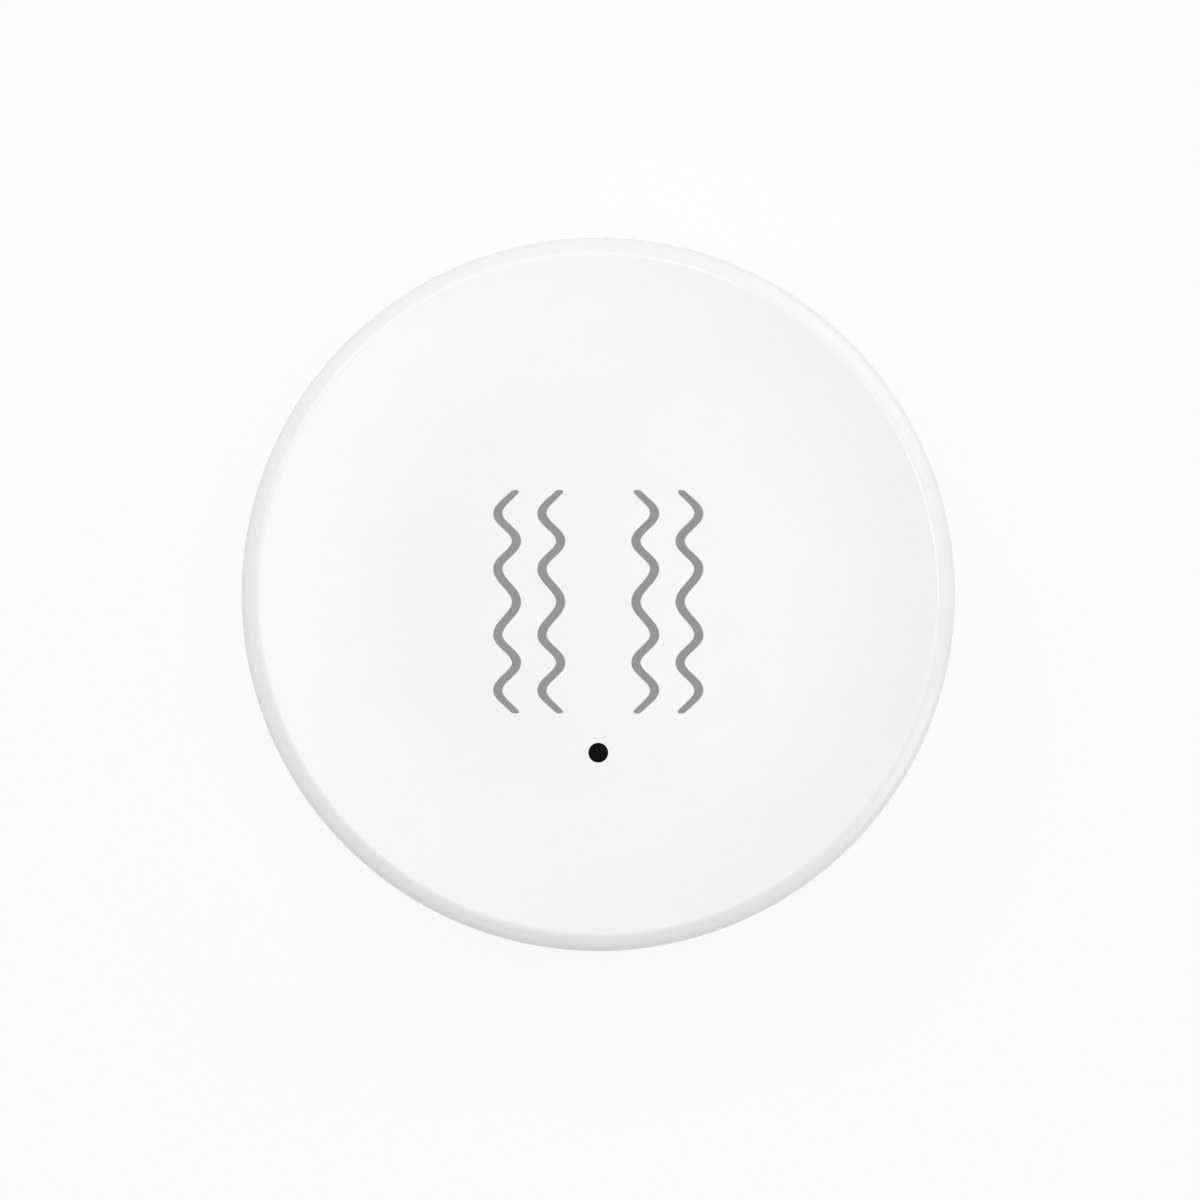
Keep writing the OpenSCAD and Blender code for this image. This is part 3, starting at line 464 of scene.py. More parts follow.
track_w = 0.00025
paired_tracks = (
    ((0.0024, -0.0203), (0.0024, -0.0216), (0.0044, -0.0236), (0.0072, -0.0236)),
    ((0.0058, -0.0203), (0.0062, -0.0207), (0.0076, -0.0207), (0.0083, -0.0200), (0.0083, -0.0130)),
    ((0.0024, -0.0181), (0.0024, -0.0172), (0.0040, -0.0156), (0.0040, -0.0128)),
    ((0.0041, -0.0181), (0.0041, -0.0174), (0.0052, -0.0163), (0.0052, -0.0128)),
    ((0.0005, -0.0210), (0.0005, -0.0232), (0.0015, -0.0242)),
)
track_paths = [[(side * x, y) for x, y in track] for track in paired_tracks for side in (-1, 1)]
track_paths += (
    ((-0.0096, 0.0146), (-0.0104, 0.0138), (-0.0172, 0.0138)),
    ((-0.0096, 0.0197), (-0.0106, 0.0207), (-0.0150, 0.0207), (-0.0166, 0.0191)),
    ((-0.0096, 0.0210), (-0.0105, 0.0219), (-0.0148, 0.0219)),
    ((0.0096, 0.0146), (0.0103, 0.0146)),
    ((0.0096, 0.0159), (0.0101, 0.0164), (0.0113, 0.0169)),
    ((0.0096, 0.0184), (0.0113, 0.0186)),
    ((0.0096, 0.0210), (0.0105, 0.0219), (0.0113, 0.0219)),
    ((0.0132, 0.0169), (0.0148, 0.0169), (0.0158, 0.0179), (0.0158, 0.0200)),
    ((0.0132, 0.0186), (0.0144, 0.0186), (0.0151, 0.0193), (0.0151, 0.0208)),
    ((-0.0041, -0.0203), (-0.0041, -0.0211), (-0.0056, -0.0226), (-0.0102, -0.0226), (-0.0110, -0.0218)),
    ((0.0041, -0.0203), (0.0041, -0.0211), (0.0056, -0.0226), (0.0100, -0.0226), (0.0108, -0.0218)),
)
ground_r = 0.0266
ground_w = 0.0006
ground_steps = 180


def arc(radius, angles):
    """Points on a circle round the board's middle, at angles in degrees."""
    return [(radius * math.cos(math.radians(a)), radius * math.sin(math.radians(a))) for a in angles]


ground_ring = arc(ground_r, [360 * i / ground_steps for i in range(ground_steps + 1)])
tracks = [(track, track_w) for track in track_paths] + [(ground_ring, ground_w)]
printed("board_tracks", tracks, deck_z, copper_t, covered_copper, "board_laminate")

pin_pitch = 0.00127
module_pin_x = 0.0093
module_pin_ys = [0.0146 + pin_pitch * i for i in range(6)]
regulator_xs = (0.0113, 0.0132)
regulator_third_x = 0.01225
# Solder pads as columns, rows, width and depth: the button, the switch, the ceramics, the resistors,
# the radio module, the regulator's two legs and its third, and the buffer capacitor
pad_groups = (
    ((-0.01425, -0.00975), (-0.0208, -0.0132), 0.0009, 0.0011),
    ((0.01083, 0.01337), (-0.0209, -0.0133), 0.0009, 0.0011),
    ((-0.0062, -0.0045, -0.0028, 0.0028, 0.0045, 0.0062), (-0.0200, -0.0184), 0.0009, 0.0006),
    ((0.01145, 0.01305), (0.0169, 0.0186, 0.0203, 0.0220), 0.0006, 0.0009),
    ((-module_pin_x, module_pin_x), module_pin_ys, 0.0014, 0.0008),
    (regulator_xs, (0.0137,), 0.0006, 0.0008),
    ((regulator_third_x,), (0.0160,), 0.0006, 0.0008),
    ((-0.01665, -0.01025), (0.01665,), 0.0016, 0.0012),
)
film_round = 0.00001
pads = bmesh.new()
for columns, rows, wide, deep in pad_groups:
    for x in columns:
        for y in rows:
            added(pads, block((wide, deep, 2 * copper_t), (x, y), deck_z, film_round, segments=1))
hole_r = 0.00012
hole_pad_r = 0.00028
stitch_r = 0.024
stitching = arc(stitch_r, range(242, 300, 8))
for x, y in [end for track in track_paths for end in (track[0], track[-1])] + stitching:
    added(pads, lathed((
        (hole_r, deck_z),
        (hole_r, deck_z + copper_t),
        (hole_pad_r, deck_z + copper_t),
        (hole_pad_r, deck_z),
        (hole_r, deck_z),
    ), steps=24, x=x, y=y))
made("board_pads", pads, solder_tin, "base", "solder_tin")

legend_w = 0.00015
corner_share = 0.3
first_pin_mark = ((-0.0022, -0.0169), (-0.0016, -0.0169))
first_pin_w = 0.0004
row_end = ((0.0105, 0.0232), (0.0140, 0.0232))
legend_boxes = (
    (-0.0155, -0.0085, -0.0204, -0.0136),
    (0.0085, 0.0157, -0.0206, -0.0136),
    (-0.0019, 0.0019, -0.0211, -0.0173),
    (-0.0164, -0.0105, 0.0137, 0.0196),
)
legend = [(first_pin_mark, first_pin_w), (row_end, legend_w)]
for left, right, near, far in legend_boxes:
    across = (right - left) * corner_share
    along = (far - near) * corner_share
    for x, dx in ((left, across), (right, -across)):
        for y, dy in ((near, along), (far, -along)):
            legend.append((((x + dx, y), (x, y), (x, y + dy)), legend_w))
printed("board_legend", legend, deck_z, ink_t, legend_ink, "board_laminate")

# Radio module
# A small dark board soldered on by its notched edges. A tinned steel can hides its chip and crystal,
# and the bare end carries a folded copper aerial.

module_low, module_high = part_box("radio_module")
module_mask = surface("module_mask", board_skin, (0.008, 0.016, 0.04), rough=0.28, grain=700, relief=3e-6)


def middle(cad_node):
    """The middle of a CAD node's box."""
    low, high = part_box(cad_node)
    return (low + high) / 2


def filling(cad_node, soft, segments=2):
    """A block with eased edges that fills a CAD node's box."""
    low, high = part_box(cad_node)
    return block(high - low, middle(cad_node), low.z, soft, segments)


module = filling("radio_module", soft=0.00006)
made("radio_board", module, module_mask, "base", "module_laminate", "radio_module")

pin_film = (0.0010, 0.0008, copper_t)
pin_film_x = 0.0085
notch_size = (0.0002, 0.0006, 0.0008)
notch_x = 0.0091
notch_round = 0.00005
notches = bmesh.new()
for side in (-1, 1):
    for y in module_pin_ys:
        added(notches, block(pin_film, (side * pin_film_x, y), module_high.z, film_round, segments=1))
        added(notches, block(notch_size, (side * notch_x, y), module_low.z, notch_round))
made("module_notches", notches, solder_tin, "base", "solder_tin")

aerial_copper = metal(
    "aerial_copper", (0.62, 0.42, 0.14), rough=0.35, grain=(3000, 3000, 3000), relief=3e-6,
)
aerial_w = 0.0005
aerial_x = 0.0084
feed_y = 0.0216
fold_xs = [-0.0070 + 0.0014 * i for i in range(10)]
fold_low, fold_high = 0.0221, 0.0246
folds = [(-aerial_x, feed_y), (-aerial_x, fold_high)]
for i, x in enumerate(fold_xs):
    ends = (fold_high, fold_low) if i % 2 == 0 else (fold_low, fold_high)
    folds += [(x, y) for y in ends]
folds += [(aerial_x, fold_high), (aerial_x, fold_low)]
printed("folded_aerial", [(folds, aerial_w)], module_high.z, copper_t, aerial_copper, "module_laminate")

shield_tin = metal("shield_tin", (0.66, 0.66, 0.655), rough=0.33, grain=(250, 5000, 5000), relief=4e-6)
shield_wall = 0.0002
panel_in = 0.0007
panel_step = 0.00015
panel_sink = 0.00008
shield = filling("radio_shield", soft=0.00035, segments=4)
bmesh.ops.delete(shield, geom=[f for f in shield.faces if f.normal.z < -0.9], context="FACES")
roof = max((f for f in shield.faces if f.normal.z > 0.99), key=lambda f: f.calc_area())
bmesh.ops.inset_region(shield, faces=[roof], thickness=panel_in)
bmesh.ops.inset_region(shield, faces=[roof], thickness=panel_step, depth=-panel_sink)
bmesh.ops.solidify(shield, geom=shield.faces[:], thickness=shield_wall)
made("shield_can", shield, shield_tin, "base", "shield_tin", "radio_shield")

chip_epoxy = plastic("chip_epoxy", (0.022, 0.022, 0.024), rough=0.5, grain=16000, relief=4e-6)
crystal_lid = metal("crystal_lid", (0.66, 0.58, 0.40), rough=0.3, grain=(500, 6000, 6000), relief=3e-6)


def copied(name):
    """A copy of a CAD node's mesh, merged, without the lines inside its flat faces."""
    shape = bmesh.new()
    shape.from_mesh(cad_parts[name].data)
    bmesh.ops.remove_doubles(shape, verts=shape.verts, dist=merge_gap)
    bmesh.ops.dissolve_limit(shape, angle_limit=math.radians(1), verts=shape.verts, edges=shape.edges)
    return shape


def trimmed(name, cad_node, finish, slot, soft, body="base", **shading):
    """A piece that keeps the shape of its CAD node, with eased edges."""
    made(name, eased(copied(cad_node), soft), finish, body, slot, cad_node, **shading)


trimmed("radio_chip_body", "radio_chip", chip_epoxy, "chip_epoxy", soft=0.00008)
trimmed("crystal_can", "radio_crystal", crystal_lid, "crystal_lid", soft=0.00015)

# Sensing chip and small parts
# The accelerometer, the regulator and rows of chip capacitors and resistors, placed by machine and
# soldered on. Epoxy bodies are black, ceramic ones tan, and their ends are tinned.

sensor_low, sensor_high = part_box("accelerometer")
trimmed("sensor_chip", "accelerometer", chip_epoxy, "chip_epoxy", soft=0.0001)
sensor_dot_r = 0.0002
sensor_dot_in = 0.0005
sensor_dot = lathed((
    (0, sensor_high.z),
    (sensor_dot_r, sensor_high.z),
    (sensor_dot_r, sensor_high.z + ink_t),
    (0, sensor_high.z + ink_t),
), steps=32, x=sensor_low.x + sensor_dot_in, y=sensor_high.y - sensor_dot_in)
made("sensor_dot", sensor_dot, legend_ink, "base", "chip_epoxy")

regulator_low, regulator_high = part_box("voltage_regulator")
trimmed("regulator_body", "voltage_regulator", chip_epoxy, "chip_epoxy", soft=0.00012)
leg_w = 0.0004
leg_round = 0.00004
leg_parts = (
    ((leg_w, 0.0003, 0.0002), 0.00012, deck_z + 0.00045),
    ((leg_w, 0.00018, 0.00065), 0.00023, deck_z + copper_t),
    ((leg_w, 0.0005, 0.00018), 0.00042, deck_z + 2 * copper_t),
)
leg_places = [(x, regulator_low.y, -1) for x in regulator_xs] + [(regulator_third_x, regulator_high.y, 1)]
regulator_legs = bmesh.new()
for x, side_y, way in leg_places:
    for size, out, low in leg_parts:
        added(regulator_legs, block(size, (x, side_y + way * out), low, leg_round))
made("regulator_legs", regulator_legs, solder_tin, "base", "solder_tin")

ceramic = plastic("ceramic", (0.36, 0.25, 0.15), rough=0.5, grain=15000, relief=4e-6)
trimmed("ceramic_bodies", "chip_capacitors", ceramic, "ceramic", soft=0.00006)
trimmed("resistor_bodies", "chip_resistors", chip_epoxy, "chip_epoxy", soft=0.00004)
trimmed("tinned_ends", "chip_ends", solder_tin, "solder_tin", soft=0.00006)

# Status light and light pipe
# A pale surface-mount light under a clear acrylic pipe, which stands on the board by two pegs and
# carries the light up to the window in the cover.

led_resin = plastic(
    "led_resin", (0.75, 0.70, 0.42), rough=0.35, grain=12000, relief=2e-6,
    Subsurface_Weight=0.2, Subsurface_Scale=0.0005,
)
clear_plastic = plastic(
    "clear_plastic", (0.93, 0.96, 0.97), rough=0.08, grain=3000, relief=2e-6,
    Transmission_Weight=0.92, IOR=1.49,
)
trimmed("light_body", "status_led", led_resin, "led_resin", soft=0.00006)
trimmed("clear_pipe", "light_pipe", clear_plastic, "clear_plastic", crease=40, soft=0.00015)

# Pairing button
# A square push switch: a black body and a steel plate with four rivets. Its plunger carries a white cap
# with a shallow dish for the fingertip, and the two go down together.

tact_x, tact_y, _ = middle("tact_switch")
switch_black = plastic("switch_black", (0.02, 0.02, 0.021), rough=0.45, grain=12000, relief=4e-6)
button_plastic = plastic("button_plastic", (0.80, 0.80, 0.79), rough=0.4, grain=10000, relief=3e-6)
trimmed("switch_body", "tact_switch", switch_black, "switch_black", soft=0.00015)

plate_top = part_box("tact_plate")[1].z
rivet_at = 0.0022
rivet_r = 0.0005
rivet_sink = 0.00005
rivet_edge = 0.00012
rivet_crown = 0.00015
rivet_round = 0.0001
steel = eased(copied("tact_plate"), soft=0.00008)
for x in (-rivet_at, rivet_at):
    for y in (-rivet_at, rivet_at):
        added(steel, lathed((
            (0, plate_top - rivet_sink),
            (rivet_r, plate_top - rivet_sink),
            (rivet_r, plate_top + rivet_edge, rivet_round),
            (0, plate_top + rivet_crown),
        ), steps=32, x=tact_x + x, y=tact_y + y))
made("switch_plate", steel, shield_tin, "base", "shield_tin", "tact_plate")

plunger_low, plunger_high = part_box("tact_plunger")
plunger_r = (plunger_high.x - plunger_low.x) / 2
plunger_foot_round = 0.0001
plunger_top_round = 0.0002
plunger = lathed((
    (0, plunger_low.z),
    (plunger_r, plunger_low.z, plunger_foot_round),
    (plunger_r, plunger_high.z, plunger_top_round),
    (0, plunger_high.z),
), steps=96, x=tact_x, y=tact_y)
made("switch_plunger", plunger, switch_black, "pair_button", "switch_black", "tact_plunger")

cap_low, cap_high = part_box("button_cap")
cap_r = (cap_high.x - cap_low.x) / 2
socket_r = plunger_r + 0.00003
socket_round = 0.0001
cap_foot_round = 0.00015
cap_round = 0.0006
cap_dish_edge, cap_dish_floor = cap_r * 0.62, cap_r * 0.5
cap_dish_z = cap_high.z - 0.00025
cap_dish_round = 0.0004
cap = lathed((
    (0, plunger_high.z),
    (socket_r, plunger_high.z),
    (socket_r, cap_low.z, socket_round),
    (cap_r, cap_low.z, cap_foot_round),
    (cap_r, cap_high.z, cap_round),
    (cap_dish_edge, cap_high.z, cap_dish_round),
    (cap_dish_floor, cap_dish_z, cap_dish_round),
    (0, cap_dish_z),
), steps=128, x=tact_x, y=tact_y)
made("round_cap", cap, button_plastic, "pair_button", "button_plastic", "button_cap")

# Sensitivity switch
# A red two-way slide switch with white sliders, which sets how strong a shake must be to count. The word
# ON shows which way is on, and the figures number the sliders.

dip_low, dip_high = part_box("dip_switch")
dip_plastic = plastic("dip_plastic", (0.36, 0.025, 0.02), rough=0.42, grain=12000, relief=3e-6)
trimmed("slide_switch_body", "dip_switch", dip_plastic, "dip_plastic", soft=0.00015)
for way in "12":
    knob = "slider_knob_" + way
    trimmed(knob, "dip_slider_" + way, button_plastic, "button_plastic", body="slider_" + way, soft=0.00012)
trimmed("switch_feet", "switch_legs", solder_tin, "solder_tin", soft=0.00005)

letter_h = 0.0011
letter_in = 0.0007
dip_x = middle("dip_switch").x


def meshed(name, data):
    """The shape that a text or a curve has as a mesh, with its points joined."""
    holder = placed(name, data)
    mesh = bpy.data.meshes.new_from_object(holder)
    bpy.data.objects.remove(holder)
    shape = bmesh.new()
    shape.from_mesh(mesh)
    bpy.data.meshes.remove(mesh)
    bmesh.ops.remove_doubles(shape, verts=shape.verts, dist=merge_gap)
    return shape


def lettered(name, words, y):
    """Short printed words, a thin film of ink on the top of the slide switch."""
    letters = bpy.data.curves.new(name, "FONT")
    letters.body = words
    letters.size = letter_h
    letters.align_x = "CENTER"
    letters.align_y = "CENTER"
    film = meshed(name + "_text", letters)
    bmesh.ops.translate(film, verts=film.verts, vec=(dip_x, y, dip_high.z))
    thickened(film, ink_t)
    made(name, film, legend_ink, "base", "dip_plastic")


lettered("on_mark", "ON", dip_high.y - letter_in)
lettered("way_marks", "1  2", dip_low.y + letter_in)

# Buffer capacitor
# A drawn aluminium can on a black foot. Its top has a pressed cross that lets it vent, shown as thin
# dark lines of painted shade in its grooves, and a dark mark shows its negative side.

can_low, can_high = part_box("buffer_capacitor")
can_r = (can_high.x - can_low.x) / 2
can_x, can_y, _ = middle("buffer_capacitor")
can_metal = metal("can_metal", (0.72, 0.72, 0.73), rough=0.28, grain=(5000, 5000, 300), relief=4e-6)
can_foot_round = 0.0001
can_top_round = 0.00035
groove_depth = 0.00018
groove_low, groove_middle, groove_high = (can_low.z + up for up in (0.0004, 0.0006, 0.0008))
groove_round = 0.0001
rim_in, panel_rim_in = 0.0006, 0.0007
panel_z = can_high.z - 0.00008
barrel = lathed((
    (0, can_low.z),
    (can_r, can_low.z, can_foot_round),
    (can_r, groove_low, groove_round),
    (can_r - groove_depth, groove_middle, groove_round),
    (can_r, groove_high, groove_round),
    (can_r, can_high.z, can_top_round),
    (can_r - rim_in, can_high.z),
    (can_r - panel_rim_in, panel_z),
    (0, panel_z),
), steps=128, x=can_x, y=can_y)
made("drawn_can", barrel, can_metal, "base", "can_metal", "buffer_capacitor")

vent_reach = 0.0014
vent_w = 0.0001
vent_t = 0.00001
# Painted shade: the cross is not pressed into the top; thin dark lines lie flat where its grooves would be
# shaded.
vent_shade_lines = [
    (((can_x - vent_reach, can_y), (can_x + vent_reach, can_y)), vent_w),
    (((can_x, can_y - vent_reach), (can_x, can_y + vent_reach)), vent_w),
]
printed("painted_vent_shade", vent_shade_lines, panel_z, vent_t, chip_epoxy, "can_metal")

moon_in = 0.0008
moon_side = -0.0008


def cut_off(shape, point, outward):
    """Cuts a shape at a plane and drops what lies beyond it."""
    everything = shape.verts[:] + shape.edges[:] + shape.faces[:]
    bmesh.ops.bisect_plane(shape, geom=everything, plane_co=point, plane_no=outward, clear_outer=True)


half_moon = bmesh.new()
bmesh.ops.create_circle(half_moon, cap_ends=True, segments=96, radius=can_r - moon_in)
cut_off(half_moon, (moon_side, 0, 0), (1, 0, 0))
bmesh.ops.translate(half_moon, verts=half_moon.verts, vec=(can_x, can_y, panel_z))
thickened(half_moon, ink_t)
made("negative_mark", half_moon, switch_black, "base", "can_metal")

foot_corner = 0.0009
upright_least = 0.0005
foot = copied("capacitor_foot")
uprights = [
    e for e in foot.edges
    if abs(e.verts[0].co.z - e.verts[1].co.z) > upright_least and e.verts[0].co.x < can_x
]
bmesh.ops.bevel(
    foot, geom=uprights, offset=foot_corner, offset_type="OFFSET", segments=1, profile=0.5,
    affect="EDGES", material=-1,
)
made("capacitor_base", eased(foot, soft=0.00008), switch_black, "base", "switch_black", "capacitor_foot")

# Battery tray
# A tray of pale moulded plastic, held down by four screws through its ears. Two troughs hold the cells,
# and cuts in the long walls let a finger lift them out.

tray_plastic = plastic("tray_plastic", (0.70, 0.70, 0.68), rough=0.45, grain=7000, relief=5e-6)
trimmed("cell_tray", "battery_tray", tray_plastic, "tray_plastic", soft=0.00015)

# Contacts
# Plates of nickel-plated spring steel, stamped and dropped into pockets at the ends of the tray, and two
# conical springs of the same wire. The wide plate joins the two cells in series.

contact_nickel = metal(
    "contact_nickel", (0.70, 0.67, 0.62), rough=0.27, grain=(5000, 5000, 400), relief=4e-6,
)
for contact in ("negative_terminal", "positive_terminal", "bridge_plate"):
    trimmed(contact + "_strip", contact, contact_nickel, "contact_nickel", soft=0.00008)

cell_y = 0.0058
cell_z = 0.01065
wire_d = 0.0005
wide_r, narrow_r = 0.0035, 0.0016
spring_turns = 3
turn_points = 48
for spring, side in (("negative_spring", 1), ("bridge_spring", -1)):
    low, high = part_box(spring)
    foot_x, tip_x = (low.x, high.x) if side > 0 else (high.x, low.x)
    coil = bpy.data.curves.new(spring + "_wire", "CURVE")
    coil.dimensions = "3D"
    coil.bevel_depth = wire_d / 2
    coil.bevel_resolution = 5
    coil.use_fill_caps = True
    spiral = coil.splines.new("POLY")
    spiral.points.add(spring_turns * turn_points)
    for i, point in enumerate(spiral.points):
        share = i / (spring_turns * turn_points)
        angle = math.tau * spring_turns * share
        radius = wide_r + (narrow_r - wide_r) * share
        x = foot_x + side * wire_d / 2 + (tip_x - foot_x - side * wire_d) * share
        y = side * (cell_y + radius * math.cos(angle))
        point.co = (x, y, cell_z + radius * math.sin(angle), 1)
    wire = meshed(spring + "_bender", coil)
    bmesh.ops.recalc_face_normals(wire, faces=wire.faces)
    made(spring + "_coil", wire, contact_nickel, "base", "contact_nickel", spring, crease=60)

# Cells
# Two AAA cells, laid head to tail: a bright can with a pressed nub at the positive end, in a printed
# sleeve. A pale band and a plus sign mark its positive end, and a minus sign marks the other.

cell_metal = metal("cell_metal", (0.74, 0.74, 0.74), rough=0.24, grain=(300, 5000, 5000), relief=3e-6)
sleeve_start, sleeve_end = -0.0206, 0.0219
silver = (0.55, 0.56, 0.57, 1)
navy = (0.018, 0.035, 0.07, 1)
pale_blue = (0.30, 0.42, 0.46, 1)
sign_white = (0.72, 0.73, 0.74, 1)
sleeve_bands = (
    (0.0, silver), (0.03, navy), (0.66, silver), (0.68, navy), (0.70, pale_blue), (0.985, silver),
)
plus_x = 0.0152
minus_x = -0.0165
sign_reach = 0.0015
sign_half = 0.00035
sign_bars = (
    (plus_x, sign_reach, sign_half), (plus_x, sign_half, sign_reach), (minus_x, sign_reach, sign_half),
)


def sleeve_print(name, turn):
    """Gloss printed film: a dark body, a pale band at the positive end, thin lines and the two signs."""
    material, tree = painted(name, Coat_Weight=0.4, Coat_Roughness=0.1)
    place = node(tree, "TexCoord").outputs["Object"]
    along = node(tree, "Mapping", {"Vector": place, "Rotation": (0, 0, turn)})
    parts = node(tree, "SeparateXYZ", {"Vector": along.outputs["Vector"]}).outputs
    bands = node(tree, "ValToRGB", {"Fac": ranged(tree, parts["X"], 0.0, 1.0, sleeve_start, sleeve_end)})
    bands.color_ramp.interpolation = "CONSTANT"
    for where, _ in sleeve_bands[2:]:
        bands.color_ramp.elements.new(where)
    for stop, (where, colour) in zip(bands.color_ramp.elements, sleeve_bands):
        stop.position = where
        stop.color = colour
    marked = 0.0
    for bar_x, x_reach, y_reach in sign_bars:
        along_bar = worked_out(tree, "COMPARE", parts["X"], bar_x, x_reach)
        across_bar = worked_out(tree, "COMPARE", parts["Y"], cell_y, y_reach)
        marked = worked_out(tree, "MAXIMUM", marked, worked_out(tree, "MULTIPLY", along_bar, across_bar))
    inked = node(tree, "MixRGB", {"Fac": marked, "Color1": bands.outputs["Color"], "Color2": sign_white})
    coated(tree, plastic_skin, inked.outputs["Color"], rough=0.3, grain=3000, relief=3e-6)
    return material


cell_r = 0.00507
cell_round = 0.0005
tail_ring_in, tail_ring_out = cell_r * 0.62, cell_r * 0.68
tail_sink = 0.00015
head_ring_in, head_ring_out = cell_r * 0.72, cell_r * 0.78
head_sink = 0.0002
ring_round = 0.0001
nub_r = 0.0019
nub_h = 0.0010
nub_flare = 0.0004
nub_foot_round = 0.0002
nub_round = 0.00035
sleeve_r = 0.00525
sleeve_in_r = cell_r + 0.00003
sleeve_inset = 0.0005
sleeve_round = 0.00007
for cell, turn in (("cell_a", 0), ("cell_b", math.pi)):
    low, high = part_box(cell)
    length = high.x - low.x
    head = length - nub_h
    tail_x = low.x if turn == 0 else -high.x
    laid = Matrix.Translation((0, middle(cell).y, cell_z)) @ Matrix.Rotation(turn, 4, "Z")
    laid = laid @ Matrix.Translation((tail_x, 0, 0)) @ Matrix.Rotation(math.pi / 2, 4, "Y")
    can = lathed((
        (0, tail_sink),
        (tail_ring_in, tail_sink, ring_round),
        (tail_ring_out, 0, ring_round),
        (cell_r, 0, cell_round),
        (cell_r, head, cell_round),
        (head_ring_out, head, ring_round),
        (head_ring_in, head - head_sink, ring_round),
        (nub_r + nub_flare, head - head_sink, nub_foot_round),
        (nub_r, head + head_sink, nub_foot_round),
        (nub_r, length, nub_round),
        (0, length),
    ), steps=96)
    can.transform(laid)
    made(cell + "_can", can, cell_metal, "base", "cell_metal", cell)
    sleeve = lathed((
        (sleeve_in_r, sleeve_inset),
        (sleeve_r, sleeve_inset, sleeve_round),
        (sleeve_r, head - sleeve_inset, sleeve_round),
        (sleeve_in_r, head - sleeve_inset),
        (sleeve_in_r, sleeve_inset),
    ), steps=128)
    sleeve.transform(laid)
    film = sleeve_print(cell + "_print", -turn)
    made(cell + "_film", sleeve, film, "base", "cell_print", cell + "_sleeve")

# Board screws
# Four cross-head screws of zinc-plated steel, driven through the ears of the tray and the board into the
# bosses of the base.

screw_steel = metal("screw_steel", (0.58, 0.58, 0.59), rough=0.3, grain=(2500, 2500, 2500), relief=4e-6)
trimmed("cross_screws", "board_screws", screw_steel, "screw_steel", soft=0.00006)

# Seal ring
# A cord of dark silicone, moulded as a closed ring, that sits in the cover between its bead and its
# shoulder and presses on the neck. A fine flash line runs round its middle.

seal_low, seal_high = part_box("seal_ring")
cord_r = (seal_high.z - seal_low.z) / 2
ring_r = seal_high.x - cord_r
flash_h = 0.00004
seal_silicone = plastic("seal_silicone", (0.035, 0.037, 0.04), rough=0.55, grain=12000, relief=4e-6)
seal = bmesh.new()
bmesh.ops.create_circle(seal, segments=32, radius=cord_r)
bmesh.ops.rotate(seal, verts=seal.verts, matrix=Matrix.Rotation(math.pi / 2, 3, "X"))
flash = [v for v in seal.verts if abs(v.co.z) < cord_r / 100]
bmesh.ops.scale(seal, verts=flash, vec=(1 - flash_h / cord_r, 1, 1))
bmesh.ops.translate(seal, verts=seal.verts, vec=(ring_r, 0, seal_low.z + cord_r))
made("silicone_seal", turned(seal), seal_silicone, "cover_seal", "seal_silicone", "seal_ring", crease=60)

# Front cover
# A white cap of satin ABS. Its face is flat in the middle and rises in one shallow dish to a soft ridge,
# and a full bevel falls from the ridge to the side. Inside are the bead and shoulder of the seal, three
# lugs and the marks of the ejector pins.

cover_low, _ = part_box("front_cover")
flat_r = 0.016
face_z = 0.0188
ceiling_z = 0.0170
dish_depth = 0.00064
bevel_w = 0.00143
bevel_high_w = 0.00074
bevel_high_drop = 0.00044
bevel_drop = 0.00105
ridge_round = 0.00085
bevel_round = 0.0030
edge_round = 0.0014
skirt_round = 0.00035
inner_round = 0.0010
cover_in_r = 0.03043
bead_low = 0.00942
bead_h = 0.0004
bead_in = 0.00035
bead_round = 0.00008
shoulder_r = 0.02938
shoulder_z = 0.01122
shoulder_round = 0.0001
ridge_r = body_r - bevel_w
ridge_z = face_z + dish_depth
dish_run = ridge_r - flat_r
dish_r = (dish_run ** 2 + dish_depth ** 2) / (2 * dish_depth)
dish_steps = 24
turn_steps = 256
level_gap = 1e-6

cover_plastic = plastic("cover_plastic", (0.87, 0.87, 0.868), rough=0.25, grain=9000, relief=6e-7)

cover = drawn(bmesh.new(), (
    (ridge_r, ridge_z),
    (ridge_r + bevel_high_w, ridge_z - bevel_high_drop, bevel_round),
    (body_r, ridge_z - bevel_drop, edge_round),
    (body_r, cover_low.z, skirt_round),
    (cover_in_r, cover_low.z, skirt_round),
    (cover_in_r, bead_low),
    (cover_in_r - bead_in, bead_low + bead_h / 3, bead_round),
    (cover_in_r - bead_in, bead_low + bead_h * 2 / 3, bead_round),
    (cover_in_r, bead_low + bead_h),
    (cover_in_r, shoulder_z),
    (shoulder_r, shoulder_z, shoulder_round),
    (shoulder_r, ceiling_z, inner_round),
    (flat_r, ceiling_z),
))
rim = cover.verts.new((flat_r, 0, face_z))
bmesh.ops.spin(
    cover, geom=[rim], cent=(flat_r, 0, face_z + dish_r), axis=(0, -1, 0),
    angle=math.asin(dish_run / dish_r), steps=dish_steps,
)
bmesh.ops.remove_doubles(cover, verts=cover.verts, dist=level_gap)
rounded(cover, max(cover.verts, key=lambda v: v.co.z), ridge_round, segments=10)
turned(cover, turn_steps)

